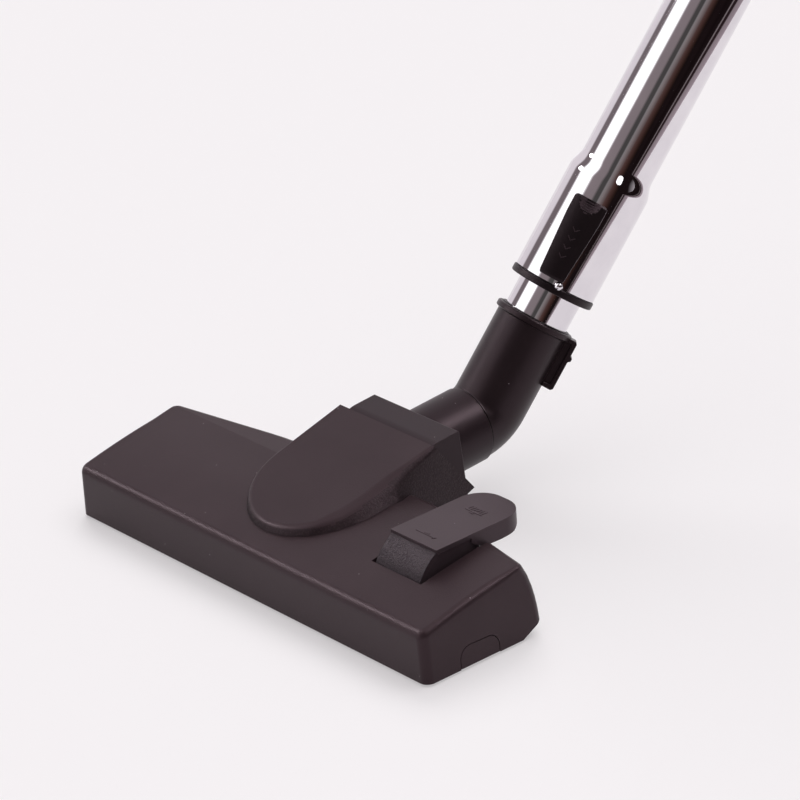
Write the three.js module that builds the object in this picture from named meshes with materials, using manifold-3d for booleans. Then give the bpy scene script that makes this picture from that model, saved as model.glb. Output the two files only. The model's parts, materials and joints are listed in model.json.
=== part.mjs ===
// Vacuum cleaner floor head with a rocker pedal, a tilting and swivelling neck,
// and the lower part of a chrome telescopic wand.
// Millimetres, +Z up, +X along the head, the wand leans back towards +Y.
import * as THREE from 'three';
import { ConvexGeometry } from 'three/addons/geometries/ConvexGeometry.js';
import { mergeVertices } from 'three/addons/utils/BufferGeometryUtils.js';
import Module from 'manifold-3d';

const wasm = await Module();
wasm.setup();

// ---- driving dimensions -------------------------------------------------
const gap = 0.3;              // clearance between pieces that touch
const wall = 2.5;             // moulded wall
const headWidth = 256;        // end to end
const headDepth = 70;         // front edge to rear edge at the ends
const middleBulge = 12;       // how much deeper the head is behind the neck
const frontHeight = 25.8;     // top edge of the front face
const rearHeight = 37.8;      // highest part of the top
const crown = 1.2;            // bow of the top from front to back
const frontLean = 3;          // the front face leans out towards its top
const rearLean = 9;           // the rear face leans in towards its top
const endLean = 2;
const cornerRadius = 8;
const edgeRadius = 4;
const shellFoot = 1.2;        // lower edge of the top shell over the floor
const originY = 46;           // the sole's rear land, where the origin lies

const mouthHalf = 96;
const mouthFront = 18.2;
const mouthRear = 27.8;
const brushHalf = 100;
const brushThick = 4;
const frontBrushY = 13.4;
const rearBrushY = 32.6;
const brushTravel = 4;
const solePlate = 1;
const baseThick = 2.5;

const slotLeft = 64.2;        // pedal slot in the top shell
const slotRight = 98.6;
const slotFront = 24.6;
const pedalPivot = [54, 15];  // y, z
const pedalRadius = 32.8;     // curved front of the pedal about its pin
const pedalTop = 44.1;
const pedalRear = 91;
const pinRadius = 2;

const pivotPin = 3;
const neckRise = 4;           // degrees, neck tube over the horizontal
const pivot = [98, 34.8];     // y, z of the neck's tilt axis
const drumRadius = 19.6;
const blockTop = 19.7;        // flat top of the neck block over the tilt axis
const blockHalf = 30.8;
const blockRear = 12;         // rear face, along the neck from the tilt axis
const neckRadius = 18.8;
const neckBore = 16;
const neckLength = 41.3;      // tilt axis to the swivel joint
const swivelRest = 10;        // degrees, the elbow is turned a little at rest
const elbowBend = 50;
const bendRadius = 18.6;
const elbowRadius = 18;
const collarTop = 54;         // along the wand from the bend
const collarRadius = 19.7;
const hookTurn = 40;          // degrees round the wand
const latchTurn = -60;

const innerRadius = 16;       // telescopic tubes
const outerRadius = 18.2;
const housingRadius = 20.6;
const tubeWall = 0.8;
const innerStart = 24;
const innerLength = 470;
const ringStart = 69;
const ringThick = 3.4;
const housingLength = 53;
const shoulderLength = 10;
const outerLength = 480;

const topPlane = { nose: [14, 33.6], rear: [91.5, 54.1] };   // neck cover, y and z
const coverHalf = 37.5;

// ---- helpers ------------------------------------------------------------
const V = (x, y, z) => new THREE.Vector3(x, y, z);
const deg = THREE.MathUtils.degToRad;

function solid(geometry) {
  const g = geometry.clone();
  g.deleteAttribute('normal');
  g.deleteAttribute('uv');
  const merged = mergeVertices(g, 1e-4);
  const index = merged.index.array;
  const kept = [];
  for (let i = 0; i < index.length; i += 3) {
    const [a, b, c] = [index[i], index[i + 1], index[i + 2]];
    if (a !== b && b !== c && a !== c) kept.push(a, b, c);
  }
  const mesh = new wasm.Mesh({
    numProp: 3,
    vertProperties: new Float32Array(merged.attributes.position.array),
    triVerts: new Uint32Array(kept),
  });
  return new wasm.Manifold(mesh);
}

function geometryOf(body) {
  const mesh = body.getMesh();
  const g = new THREE.BufferGeometry();
  g.setAttribute('position', new THREE.BufferAttribute(mesh.vertProperties.slice(), 3));
  g.setIndex(new THREE.BufferAttribute(mesh.triVerts.slice(), 1));
  return g;
}

function box(x0, x1, y0, y1, z0, z1) {
  const g = new THREE.BoxGeometry(x1 - x0, y1 - y0, z1 - z0);
  g.translate((x0 + x1) / 2, (y0 + y1) / 2, (z0 + z1) / 2);
  return solid(g);
}

function shapeOf(points) {
  return new THREE.Shape(points.map(([a, b]) => new THREE.Vector2(a, b)));
}

// a closed outline in Y and Z, extruded along X
function alongX(points, x0, x1) {
  const g = new THREE.ExtrudeGeometry(shapeOf(points), { depth: x1 - x0, bevelEnabled: false });
  g.applyMatrix4(new THREE.Matrix4().set(0, 0, 1, x0, 1, 0, 0, 0, 0, 1, 0, 0, 0, 0, 0, 1));
  return solid(g);
}

// a closed outline in X and Y, extruded along Z
function alongZ(points, z0, z1) {
  const g = new THREE.ExtrudeGeometry(shapeOf(points), { depth: z1 - z0, bevelEnabled: false });
  g.translate(0, 0, z0);
  return solid(g);
}

// a cylinder along 'x', 'y' or 'z'
function rod(axis, radius, from, to, centre, sides = 28) {
  const g = new THREE.CylinderGeometry(radius, radius, to - from, sides);
  if (axis === 'x') g.rotateZ(-Math.PI / 2);
  if (axis === 'z') g.rotateX(Math.PI / 2);
  const mid = (from + to) / 2;
  if (axis === 'x') g.translate(mid, centre[0], centre[1]);
  if (axis === 'y') g.translate(centre[0], mid, centre[1]);
  if (axis === 'z') g.translate(centre[0], centre[1], mid);
  return solid(g);
}

// radius and height pairs turned about Z; the outline closes on itself
function turned(points, sides = 40) {
  const ring = [...points, points[0]];
  let area = 0;
  for (let i = 0; i < points.length; i++) area += ring[i][0] * ring[i + 1][1] - ring[i + 1][0] * ring[i][1];
  if (area > 0) ring.reverse();
  const g = new THREE.LatheGeometry(ring.map(([r, z]) => new THREE.Vector2(r, z)), sides);
  g.rotateX(Math.PI / 2);
  const body = solid(g);
  return body.volume() < 0 ? solid(flipped(g)) : body;
}

function flipped(g) {
  const out = g.clone();
  const index = out.index.array;
  for (let i = 0; i < index.length; i += 3) [index[i], index[i + 1]] = [index[i + 1], index[i]];
  return out;
}

// a round bar of the given radius swept along a curve
function swept(curve, radius, steps, sides) {
  const section = new THREE.Shape(arc(0, 0, radius, 0, 360 - 360 / sides, sides - 1)
    .map(([x, y]) => new THREE.Vector2(x, y)));
  return solid(new THREE.ExtrudeGeometry(section, { steps, extrudePath: curve, bevelEnabled: false }));
}

function arc(cx, cy, r, a0, a1, steps) {
  const out = [];
  for (let i = 0; i <= steps; i++) {
    const a = deg(a0 + ((a1 - a0) * i) / steps);
    out.push([cx + r * Math.cos(a), cy + r * Math.sin(a)]);
  }
  return out;
}


const colours = {
  shell: 0x443c3f, cover: 0x3f383b, dark: 0x1b1a1c, pedal: 0x5a5557, metal: 0xb9bcc0,
  chrome: 0xd8dade, rubber: 0x161616, red: 0x8c1f24, bristle: 0x2a2a2c, steel: 0x9a9da1,
};
function material(name, metalness = 0, roughness = 0.55) {
  return new THREE.MeshStandardMaterial({ color: colours[name], metalness, roughness });
}
const plastic = material('shell');
const coverPlastic = material('cover', 0, 0.5);
const darkPlastic = material('dark', 0, 0.6);
const pedalPlastic = material('pedal', 0, 0.6);
const soleMetal = material('metal', 1, 0.35);
const chrome = material('chrome', 1, 0.06);
const rubber = material('rubber', 0, 0.8);
const lint = material('red', 0, 0.9);
const bristle = material('bristle', 0, 0.8);
const steel = material('steel', 1, 0.3);

function place(group, name, shape, mat) {
  const geometry = shape instanceof THREE.BufferGeometry ? shape : geometryOf(shape);
  const mesh = new THREE.Mesh(geometry, mat);
  mesh.name = name;
  group.add(mesh);
  return mesh;
}

// ---- the head's outer form ----------------------------------------------
// height of the top at depth y
function topHeight(y) {
  const span = headDepth - rearLean + frontLean;
  const t = THREE.MathUtils.clamp((y + frontLean) / span, 0, 1);
  return frontHeight + (rearHeight - frontHeight) * t + 4 * crown * t * (1 - t);
}

// plan outline at floor level, inset all round
function planOutline(inset) {
  const half = headWidth / 2;
  const r = cornerRadius - inset;
  const right = [
    ...arc(half - cornerRadius, cornerRadius, r, -90, 0, 3),
    ...arc(half - cornerRadius, headDepth - cornerRadius, r, 0, 78, 3),
    [54, headDepth + middleBulge - inset],
  ];
  const left = right.map(([x, y]) => [-x, y]).reverse();
  return [...right, ...left];
}

// a convex body: the outline leans in as it rises, then rounds over into the top
function headBody(inset, floor) {
  const points = [];
  const rows = [0, 0.35, 0.6, 0.8];
  const round = Math.max(edgeRadius - inset, 1);
  const half = headWidth / 2;
  const lean = (x, y, t) => {
    const ease = 1 - Math.sqrt(1 - t * t);
    const back = THREE.MathUtils.smoothstep(y, 0, headDepth * 0.8);
    const front = -frontLean * t * (1 - back);
    return [x * (1 - (endLean * ease * (0.6 + 1.2 * back)) / half), y + front - rearLean * ease * back];
  };
  for (const [x, y] of planOutline(inset)) {
    const [tx, ty] = lean(x, y, 0.92);
    const top = topHeight(ty) - inset;
    for (const t of rows) {
      const [px, py] = lean(x, y, t);
      points.push(V(px, py, floor + (top - round - floor) * t));
    }
    for (const a of [0, 45, 90]) {
      const inward = round * (1 - Math.cos(deg(a)));
      const sx = Math.sign(tx) * Math.min(inward, Math.abs(tx));
      const midY = headDepth / 2;
      const sy = THREE.MathUtils.clamp((ty - midY) / 20, -1, 1) * inward;
      points.push(V(tx - sx, ty - sy, top - round + round * Math.sin(deg(a))));
    }
  }
  // the bow of the top along both ends
  for (const side of [-1, 1]) {
    for (const y of [8, 20, 32, 44, 54]) {
      const [x] = lean(side * (half - inset), y, 0.92);
      points.push(V(x - side * round, y, topHeight(y) - inset));
      points.push(V(x, y, topHeight(y) - inset - round));
    }
  }
  return solid(new ConvexGeometry(points));
}

// lower edge of the shell: level, then rising towards the rear
function footCutter(rise) {
  return alongX([[-20, -20], [120, -20], [120, 8 + rise], [headDepth, 7.6 + rise], [57, shellFoot + rise],
    [-20, shellFoot + rise]], -140, 140);
}

const outerBody = headBody(0, 0);
const innerBody = headBody(wall, -4);

const slotCut = alongX([[slotFront, 20], [slotFront, 60], [120, 60], [120, 22], [60, 22]], slotLeft, slotRight);
const coverOpening = box(-blockHalf - gap, blockHalf + gap, 60, 120, 3, 70)
  .add(box(-28, 28, 40, 70, 20, 70));

// end plugs: rounded tabs let into the lower edge of each end
function plugOutline(grow) {
  const g = grow;
  return [[20.4 - g, -3], ...arc(26.4, 5.6, 6 + g, 180, 100, 3),
    ...arc(37, 5.2, 6 + g, 82, 0, 3), [43 + g, -3]];
}

const screwSpots = [[-110, 48], [110, 48], [-60, 48], [44, 48], [-112, 12], [112, 12]];
function topShell() {
  let s = outerBody.subtract(innerBody).subtract(footCutter(0)).subtract(slotCut).subtract(coverOpening);
  for (const side of [-1, 1]) {
    const cut = alongX(plugOutline(gap), side > 0 ? 118 : -140, side > 0 ? 140 : -118);
    s = s.subtract(cut);
  }
  for (const [x, y] of screwSpots) {
    const post = rod('z', 3.6, solePlate + baseThick + 2 * gap + 0.4, topHeight(y) - wall / 2, [x, y], 16);
    const pilot = rod('z', 1.6, 0, 16, [x, y], 12);
    s = s.add(post.intersect(outerBody)).subtract(pilot);
  }
  return s;
}

// ---- neck cover ----------------------------------------------------------
function coverHeight(y) {
  const [y0, z0] = topPlane.nose;
  const [y1, z1] = topPlane.rear;
  return z0 + ((z1 - z0) * (y - y0)) / (y1 - y0);
}
// half width of the cover's foot at depth y
function coverFoot(y) {
  const noseY = 13.6;
  const run = 40;
  const t = THREE.MathUtils.clamp((y - noseY) / run, 0, 1);
  return coverHalf * Math.sqrt(1 - (1 - t) ** 2.1);
}
function coverBody(inset) {
  const points = [];
  const ys = [13.6, 14.2, 16, 19, 23, 28, 36, 46, 56, 72, 100, 122];
  for (const y of ys) {
    const foot = coverFoot(y) * (1 - inset / coverHalf);
    const yy = y + (y < 30 ? inset * (1 - (y - 13.6) / 17) : 0);
    const lean = 3.5 + 5 * THREE.MathUtils.smoothstep(y, 14, 60) - 3 * THREE.MathUtils.smoothstep(y, 60, 110);
    const topHalf = Math.max(foot - lean, 0);
    const z = coverHeight(yy) - inset;
    const low = Math.min(topHeight(y) - 3, z - 4);
    for (const s of [-1, 1]) {
      points.push(V(s * foot, yy, y > 72 ? 14 : low));
      points.push(V(s * (foot - 0.25 * lean), yy, low + 0.55 * (z - low)));
      points.push(V(s * (topHalf + 0.3 * lean), yy + (y < 20 ? 1 : 0), z - 1.4));
      points.push(V(s * Math.max(topHalf - 0.8, 0), yy + (y < 20 ? 3 : 0), z));
    }
  }
  return solid(new ConvexGeometry(points));
}
function neckCover() {
  // hollow in front, solid cheeks beside the neck block
  const inside = coverBody(wall);
  const bay = blockHalf + gap;
  const cheeks = box(bay, 60, 80, 130, 0, 80).add(box(-60, -bay, 80, 130, 0, 80));
  const rearCut = alongX([[topPlane.rear[0], 90], [topPlane.rear[0], 54.2], [113.2, 24.8], [101, 20.5],
    [93, 24.5], [76, 31], [73, 31], [73, 0], [160, 0], [160, 90]], -60, 60);
  const drumRoom = rod('x', drumRadius + 0.4, -bay, bay, pivot, 48);
  let s = coverBody(0).subtract(inside.subtract(cheeks)).subtract(rearCut).subtract(drumRoom);
  s = s.subtract(box(-bay, bay, 80, 130, 0, pivot[1] + 6));
  s = s.subtract(headBody(-gap, 0));
  const pinDepth = 4;
  s = s.subtract(rod('x', pivotPin + gap, bay - 1, bay + pinDepth, pivot, 20));
  return s.subtract(rod('x', pivotPin + gap, -bay - pinDepth, -bay + 1, pivot, 20));
}

// ---- lower housing --------------------------------------------------------
const baseTop = solePlate + gap + baseThick;
const wheelX = 108;
const wheelHalf = 5;
const wheelBay = wheelHalf + 1.4;
function cradle() {
  // a trough round the drum's front and underside
  const r0 = drumRadius + 1.4;
  const r1 = r0 + wall;
  const outline = [...arc(pivot[0], pivot[1], r1, 152, 268, 14), ...arc(pivot[0], pivot[1], r0, 268, 152, 14)];
  const trough = alongX(outline, -blockHalf + 0.6, blockHalf - 0.6);
  const window = box(-24, 24, 60, pivot[0] - 6, 20, pivot[1] + 9);
  return trough.subtract(window);
}
function baseTray() {
  const z0 = solePlate + gap;
  const outline = planOutline(wall + 0.8).map(([x, y]) => [x, Math.min(y, 66)]);
  let s = alongZ(outline, z0, baseTop);
  const grow = 0.6;
  s = s.subtract(box(-mouthHalf - grow, mouthHalf + grow, mouthFront - grow, mouthRear + grow, 0, 9));
  for (const y of [frontBrushY, rearBrushY]) {
    s = s.subtract(box(-brushHalf - grow, brushHalf + grow, y - brushThick / 2 - grow, y + brushThick / 2 + grow, 0, 9));
  }
  // air duct from the mouth to the neck
  const duct = alongX([[37, baseTop - 1], [66, baseTop - 1], [84, 12], [96, 11], [96, 14], [80, 20], [76, 30],
    [60, 31], [37, 27]], -30, 30);
  const ductHollow = alongX([[30, baseTop], [64, baseTop], [82, 15], [90, 15], [90, 40], [30, 40]], -27.5, 27.5);
  const drumRoom = rod('x', drumRadius + 1.4, -40, 40, pivot, 40);
  s = s.add(duct.subtract(ductHollow).subtract(drumRoom)).add(cradle());
  // posts that carry the pedal's pin
  for (const [x0, x1] of [[slotLeft - 4.4, slotLeft - 0.9], [slotRight + 0.3, slotRight + 3.8]]) {
    const post = alongX([[47, baseTop - 1], [61, baseTop - 1], ...arc(pedalPivot[0], pedalPivot[1], 4.6, 0, 180, 6)], x0, x1);
    s = s.add(post);
  }
  s = s.subtract(rod('x', pinRadius + gap, slotLeft - 6, slotRight + 3, pedalPivot, 16));
  // wheel housings
  for (const side of [-1, 1]) {
    const c = side * wheelX;
    s = s.subtract(box(c - wheelBay, c + wheelBay, 53.4, 70, 0, 9));
    for (const x of [c - wheelBay - 1.8, c + wheelBay - 0.2]) {
      s = s.add(alongX([[57, z0], [65.8, z0], [65.8, 8], [63.4, 11.4], [59.4, 11.4], [57, 8]], x, x + 2));
    }
    s = s.subtract(rod('x', 1.55, c - 12, c + 12, [61.5, 6.8], 12));
  }
  for (const [x, y] of screwSpots) {
    s = s.subtract(rod('z', 1.7, 0, 9, [x, y], 12)).subtract(rod('z', 3.3, 0, 2.2, [x, y], 16));
  }
  // notches for the end plugs
  for (const side of [-1, 1]) {
    s = s.subtract(box(side > 0 ? 119.4 : -140, side > 0 ? 140 : -119.4, 19, 44.4, 0, 9));
    s = s.subtract(box(side > 0 ? 118.6 : -140, side > 0 ? 140 : -118.6, 55, 80, 0, 9));
  }
  return s;
}

function solePlateBody() {
  const outline = planOutline(wall + 1.2).map(([x, y]) => [x, Math.min(y, 58)]);
  let s = alongZ(outline, 0, solePlate);
  s = s.subtract(box(-mouthHalf, mouthHalf, mouthFront, mouthRear, -1, 3));
  for (const y of [frontBrushY, rearBrushY]) {
    s = s.subtract(box(-brushHalf - 0.4, brushHalf + 0.4, y - brushThick / 2 - 0.5, y + brushThick / 2 + 0.5, -1, 3));
  }
  for (const side of [-1, 1]) {
    s = s.subtract(box(side > 0 ? 119.4 : -140, side > 0 ? 140 : -119.4, 19, 44.4, -1, 3));
    s = s.subtract(box(side * wheelX - wheelBay, side * wheelX + wheelBay, 53.4, 70, -1, 3));
  }
  for (const [x, y] of screwSpots) s = s.subtract(rod('z', 3.3, -1, 9, [x, y], 16));
  for (const x of lintSpots) {
    s = s.subtract(box(x - lintHalf - 0.3, x + lintHalf + 0.3, 38.7, 43.3, -1, 3));
  }
  return s;
}
const lintSpots = [-55, 55];
const lintHalf = 34;

// counterbored screw: head in the base, shank in the shell's post
const screwHead = { radius: 3, bottom: 0.2, top: 1.9 };
function screw(x, y) {
  const shank = rod('z', 1.3, screwHead.top - 0.2, 14, [x, y], 10);
  return rod('z', screwHead.radius, screwHead.bottom, screwHead.top, [x, y], 16).add(shank);
}

// ---- brushes and their lift ------------------------------------------------
const liftBottom = 8.5;
const liftTop = 13;
const armTop = 10.1;
const armHalf = 7;
const pedalMid = (slotLeft + slotRight) / 2;
const springX = 110;
const springY = 23;
function brushFrame() {
  let s = box(-106, 106, 10, 36, liftBottom, liftTop).subtract(box(-98, 98, 17.4, 28.6, 0, 20));
  for (const y of [frontBrushY, rearBrushY]) {
    const half = brushThick / 2 + gap - 0.1;
    s = s.subtract(box(-brushHalf - gap, brushHalf + gap, y - half, y + half, 0, liftTop - 1.7));
  }
  for (const side of [-1, 1]) {
    s = s.add(box(Math.min(side * 105, side * 113), Math.max(side * 105, side * 113), 19, 27, liftBottom, 11));
  }
  // arm that the pedal's finger pushes down
  return s.add(box(pedalMid - armHalf, pedalMid + armHalf, 35, 71.5, liftBottom, armTop));
}
function bristleStrip(y) {
  const half = brushThick / 2 - 0.1;
  return box(-brushHalf + 0.4, brushHalf - 0.4, y - half, y + half, 0.9, liftTop - 2);
}

class Helix extends THREE.Curve {
  constructor(radius, from, to, turns, place) {
    super();
    Object.assign(this, { radius, from, to, turns, place });
  }
  getPoint(t, target = new THREE.Vector3()) {
    const a = 2 * Math.PI * this.turns * t;
    const p = V(this.radius * Math.cos(a), this.radius * Math.sin(a), this.from + (this.to - this.from) * t);
    return target.copy(p.add(this.place));
  }
}
function coil(radius, wire, from, to, turns, place) {
  return swept(new Helix(radius, from + wire, to - wire, turns, place), wire, Math.round(turns * 10), 5);
}

// ---- pedal -----------------------------------------------------------------
const pedalLeft = slotLeft + 0.8;
const pedalRight = slotRight - 1.6;
const hubRadius = 4.4;
function pedal() {
  const [py, pz] = pedalPivot;
  const plateThick = 2.2;
  const frontY = 36.2;
  const plan = [[pedalLeft, frontY], [pedalRight, frontY],
    ...arc(pedalRight - 12, pedalRear - 12, 12, 0, 90, 5), ...arc(pedalLeft + 12, pedalRear - 12, 12, 90, 180, 5)];
  let s = alongZ(plan, pedalTop - plateThick, pedalTop);
  const skirt = alongZ(plan, 34, pedalTop - 0.5);
  const innerPlan = [[pedalLeft + 2.2, 20], [pedalRight - 2.2, 20],
    ...arc(pedalRight - 12, pedalRear - 12, 9.8, 0, 90, 5), ...arc(pedalLeft + 12, pedalRear - 12, 9.8, 90, 180, 5)];
  const skirtSide = alongX([[50, 50], [50, 42], [58, 36.5], [71, 35], [83, 35.4], [92, 39.5], [92, 50]], 60, 110);
  s = s.add(skirt.subtract(alongZ(innerPlan, 30, pedalTop - plateThick)).intersect(skirtSide));
  // curved front, concentric with the pin
  const face = [...arc(py, pz, pedalRadius, 123.5, 166, 8), ...arc(py, pz, pedalRadius - 2.4, 166, 121, 8)];
  s = s.add(alongX(face, pedalLeft, pedalRight));
  // cheeks down to the hub
  const cheek = [[py - 4, pz + 2], [27, 24], [24.2, 28], [28, 34.2], [36.6, 42.6], [66, 42.6], [62, 36], [py + 4, pz + 2]];
  for (const x of [pedalLeft + 1, pedalRight - 3.4]) s = s.add(alongX(cheek, x, x + 2.4));
  s = s.add(rod('x', hubRadius, pedalLeft + 1, pedalRight - 1, pedalPivot, 20));
  const finger = [[py, pz - hubRadius + 0.2], [67, 10.9], [68, armTop + gap], [72, armTop + gap], [72, 13.5],
    [py, pz + hubRadius - 0.4]];
  s = s.add(alongX(finger, pedalMid - 4, pedalMid + 4));
  return s.subtract(rod('x', pinRadius + gap, slotLeft - 2, slotRight + 2, pedalPivot, 16));
}
// leaf that clicks against the hub
function pedalLeaf() {
  const leaf = [[42.5, baseTop + gap], [48, baseTop + gap], [48, baseTop + gap + 0.6], [46, baseTop + gap + 0.8],
    [49.1, 14], [48.8, 17], [48.2, 17], [48.4, 14.2], [45, baseTop + gap + 0.7], [42.5, baseTop + gap + 0.6]];
  return alongX(leaf, pedalLeft + 4, pedalLeft + 8);
}

// ---- build the head ---------------------------------------------------------
const root = new THREE.Group();
const head = new THREE.Group();
head.position.y = -originY;
root.add(head);

place(head, 'top_shell', topShell(), plastic);
place(head, 'neck_cover', neckCover(), coverPlastic);
place(head, 'base_tray', baseTray(), darkPlastic);
place(head, 'sole_plate', solePlateBody(), soleMetal);
const ductTop = [[37.2, 27.4], [60, 31.4], [73.7, 30.5], [73.7, 32], [60, 32.9], [37.2, 28.9]];
place(head, 'duct_cover', alongX(ductTop, -29.6, 29.6), darkPlastic);
const sides = [['left', -1], ['right', 1]];
for (const [word, side] of sides) {
  const plug = alongX(plugOutline(0), side > 0 ? 119.8 : -140, side > 0 ? 140 : -119.8);
  place(head, `end_plug_${word}`, plug.intersect(outerBody).subtract(box(-140, 140, 0, 70, -9, 0.5)), plastic);
  const strip = box(side * 55 - lintHalf, side * 55 + lintHalf, 39, 43, 0.1, 1);
  place(head, `lint_strip_${word}`, strip, lint);
  const tread = [[1.55, -wheelHalf], [5.4, -wheelHalf], [6.5, 1.1 - wheelHalf], [6.5, wheelHalf - 1.1],
    [5.4, wheelHalf], [1.55, wheelHalf]];
  const wheel = geometryOf(turned(tread, 24));
  wheel.rotateY(Math.PI / 2);
  const wheelMesh = place(head, `rear_wheel_${word}`, wheel, rubber);
  wheelMesh.position.set(side * wheelX, 61.5, 6.8);
  place(head, `wheel_axle_${word}`, rod('x', 1.25, side * wheelX - 7.6, side * wheelX + 7.6,
    [61.5, 6.8], 12), steel);
  const spring = coil(2.1, 0.4, baseTop + gap, liftBottom - gap, 3, V(side * springX, springY, 0));
  place(head, `brush_spring_${word}`, spring, steel);
  const pinEnd = blockHalf + gap + 3.6;
  const pin = rod('x', pivotPin, side > 0 ? 22 : -pinEnd, side > 0 ? pinEnd : -22, pivot, 20);
  place(head, `pivot_pin_${word}`, pin, steel);
}
screwSpots.forEach(([x, y], i) => place(head, `base_screw_${i + 1}`, screw(x, y), steel));
place(head, 'brush_frame', brushFrame(), darkPlastic);
place(head, 'front_bristles', bristleStrip(frontBrushY), bristle);
place(head, 'rear_bristles', bristleStrip(rearBrushY), bristle);
place(head, 'pedal', pedal(), pedalPlastic);
place(head, 'pedal_pin', rod('x', pinRadius, slotLeft - 4.2, slotRight + 2.8, pedalPivot, 16), steel);
place(head, 'pedal_spring', pedalLeaf(), steel);

// ---- neck ---------------------------------------------------------------------
const neck = new THREE.Group();
neck.position.set(0, pivot[0], pivot[1]);
neck.rotation.x = deg(neckRise);
head.add(neck);

function neckBlock() {
  const half = blockHalf - gap;
  let s = rod('x', drumRadius, -half, half, [0, 0], 48);
  s = s.add(box(-half, half, 0, blockRear, -drumRadius + 1, blockTop));
  s = s.add(rod('y', neckRadius, blockRear - 4, neckLength - gap, [0, 0], 40));
  s = s.subtract(rod('y', neckBore, -30, neckLength + 9, [0, 0], 36));
  const pinHole = rod('x', pivotPin + gap, 21.6, blockHalf + 2, [0, 0], 20);
  return s.subtract(pinHole).subtract(rod('x', pivotPin + gap, -blockHalf - 2, -21.6, [0, 0], 20));
}
place(neck, 'neck_block', neckBlock(), plastic);

// rubber lip between the trough and the drum
function drumSeal() {
  const lip = [...arc(0, 0, drumRadius + 1.1, 148, 262, 12), ...arc(0, 0, drumRadius + gap, 262, 148, 12)];
  const s = alongX(lip, -29.4, 29.4);
  return s.subtract(box(-25, 25, -40, -6, -14.5, 9)).translate([0, pivot[0], pivot[1]]);
}
place(head, 'drum_seal', drumSeal(), rubber);

// ---- elbow: turns in the neck tube ----------------------------------------------
const elbowGroup = new THREE.Group();
elbowGroup.position.y = neckLength;
elbowGroup.rotation.y = deg(swivelRest);
neck.add(elbowGroup);
const bendStart = bendRadius * Math.tan(deg(elbowBend / 2));

// centre line of the elbow: straight, bent, straight, with a section at each station
class BentPath extends THREE.Curve {
  constructor(before, after, bendSteps) {
    super();
    const a = deg(elbowBend);
    const end = V(0, bendRadius * Math.sin(a), bendRadius * (1 - Math.cos(a)));
    const away = V(0, Math.cos(a), Math.sin(a));
    this.stations = before > 0 ? [[V(0, -before, 0), V(0, 1, 0)]] : [];
    for (let i = 0; i <= bendSteps; i++) {
      const t = (a * i) / bendSteps;
      const point = V(0, bendRadius * Math.sin(t), bendRadius * (1 - Math.cos(t)));
      this.stations.push([point, V(0, Math.cos(t), Math.sin(t))]);
    }
    this.stations.push([end.addScaledVector(away, after), away]);
  }
  get steps() { return this.stations.length - 1; }
  getPointAt(u) { return this.stations[Math.round(u * this.steps)][0].clone(); }
  getTangentAt(u) { return this.stations[Math.round(u * this.steps)][1].clone(); }
}
function bentTube(radius, before, after, bendSteps, sides) {
  const path = new BentPath(before, after, bendSteps);
  return swept(path, radius, path.steps, sides);
}
// from the wand's frame (bend point, Z up the wand) to the elbow's
const wandMatrix = new THREE.Matrix4().makeTranslation(0, bendStart, 0)
  .multiply(new THREE.Matrix4().makeRotationX(deg(elbowBend - 90)));
function inElbow(body) {
  const g = geometryOf(body);
  g.applyMatrix4(wandMatrix);
  return solid(g);
}
function wandBox(x0, x1, y0, y1, z0, z1, turn) {
  const g = new THREE.BoxGeometry(x1 - x0, y1 - y0, z1 - z0);
  g.translate((x0 + x1) / 2, (y0 + y1) / 2, (z0 + z1) / 2);
  g.rotateZ(deg(turn));
  return solid(g);
}
const spigotRadius = neckBore - gap;
const spigotLength = 14;
const socketRadius = innerRadius + gap;
function elbow() {
  let s = bentTube(elbowRadius, 0, collarTop - 1 - bendStart, 6, 28);
  s = s.add(rod('y', spigotRadius, -spigotLength, 1, [0, 0], 28));
  let straight = rod('z', collarRadius, collarTop - 2.8, collarTop, [0, 0], 36);
  // parking hook: a plate on two feet
  straight = straight.add(wandBox(21, 23.2, -6, 6, collarTop - 27, collarTop - 1, hookTurn));
  straight = straight.add(wandBox(17.4, 22, -6, 6, collarTop - 27, collarTop - 24.6, hookTurn));
  straight = straight.add(wandBox(17.4, 22, -6, 6, collarTop - 3, collarTop - 1, hookTurn));
  straight = straight.add(wandBox(22, 24.4, -6, 6, collarTop - 11, collarTop - 8.6, hookTurn));
  s = s.add(inElbow(straight));
  s = s.subtract(bentTube(spigotRadius - 2.2, spigotLength + 1, innerStart - bendStart, 6, 24));
  s = s.subtract(inElbow(rod('z', socketRadius, innerStart - gap, collarTop + 5, [0, 0], 32)));
  s = s.subtract(inElbow(rod('z', socketRadius + 1.7, collarTop - 2.4, collarTop + 5, [0, 0], 32)));
  // groove of the swivel's seal
  return s.subtract(swivelRing(spigotRadius - 1.3, spigotRadius + 1, -7.4, -4.6));
}
function swivelRing(r0, r1, y0, y1) {
  const g = geometryOf(turned([[r0, y0], [r1, y0], [r1, y1], [r0, y1]], 28));
  g.rotateX(-Math.PI / 2);
  return solid(g);
}
place(elbowGroup, 'elbow', elbow(), plastic);
place(elbowGroup, 'swivel_seal', swivelRing(spigotRadius - 1, neckBore - 0.12, -7.1, -4.9), rubber);

// ---- telescopic wand -----------------------------------------------------------
const wand = new THREE.Group();
wand.position.y = bendStart;
wand.rotation.x = deg(elbowBend - 90);
elbowGroup.add(wand);

function pipe(r0, r1, z0, z1, sides = 32) {
  return turned([[r0, z0], [r1, z0], [r1, z1], [r0, z1]], sides);
}
const innerEnd = innerStart + innerLength;
place(wand, 'collar_ring', pipe(socketRadius, socketRadius + 1.4, collarTop - 2.1, collarTop + 0.4), darkPlastic);
place(wand, 'inner_tube', pipe(innerRadius - tubeWall, innerRadius, innerStart, innerEnd), chrome);
place(wand, 'inner_end_guide', pipe(innerRadius - tubeWall, outerRadius - tubeWall - gap, innerEnd + gap,
  innerEnd + 12), darkPlastic);

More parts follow.
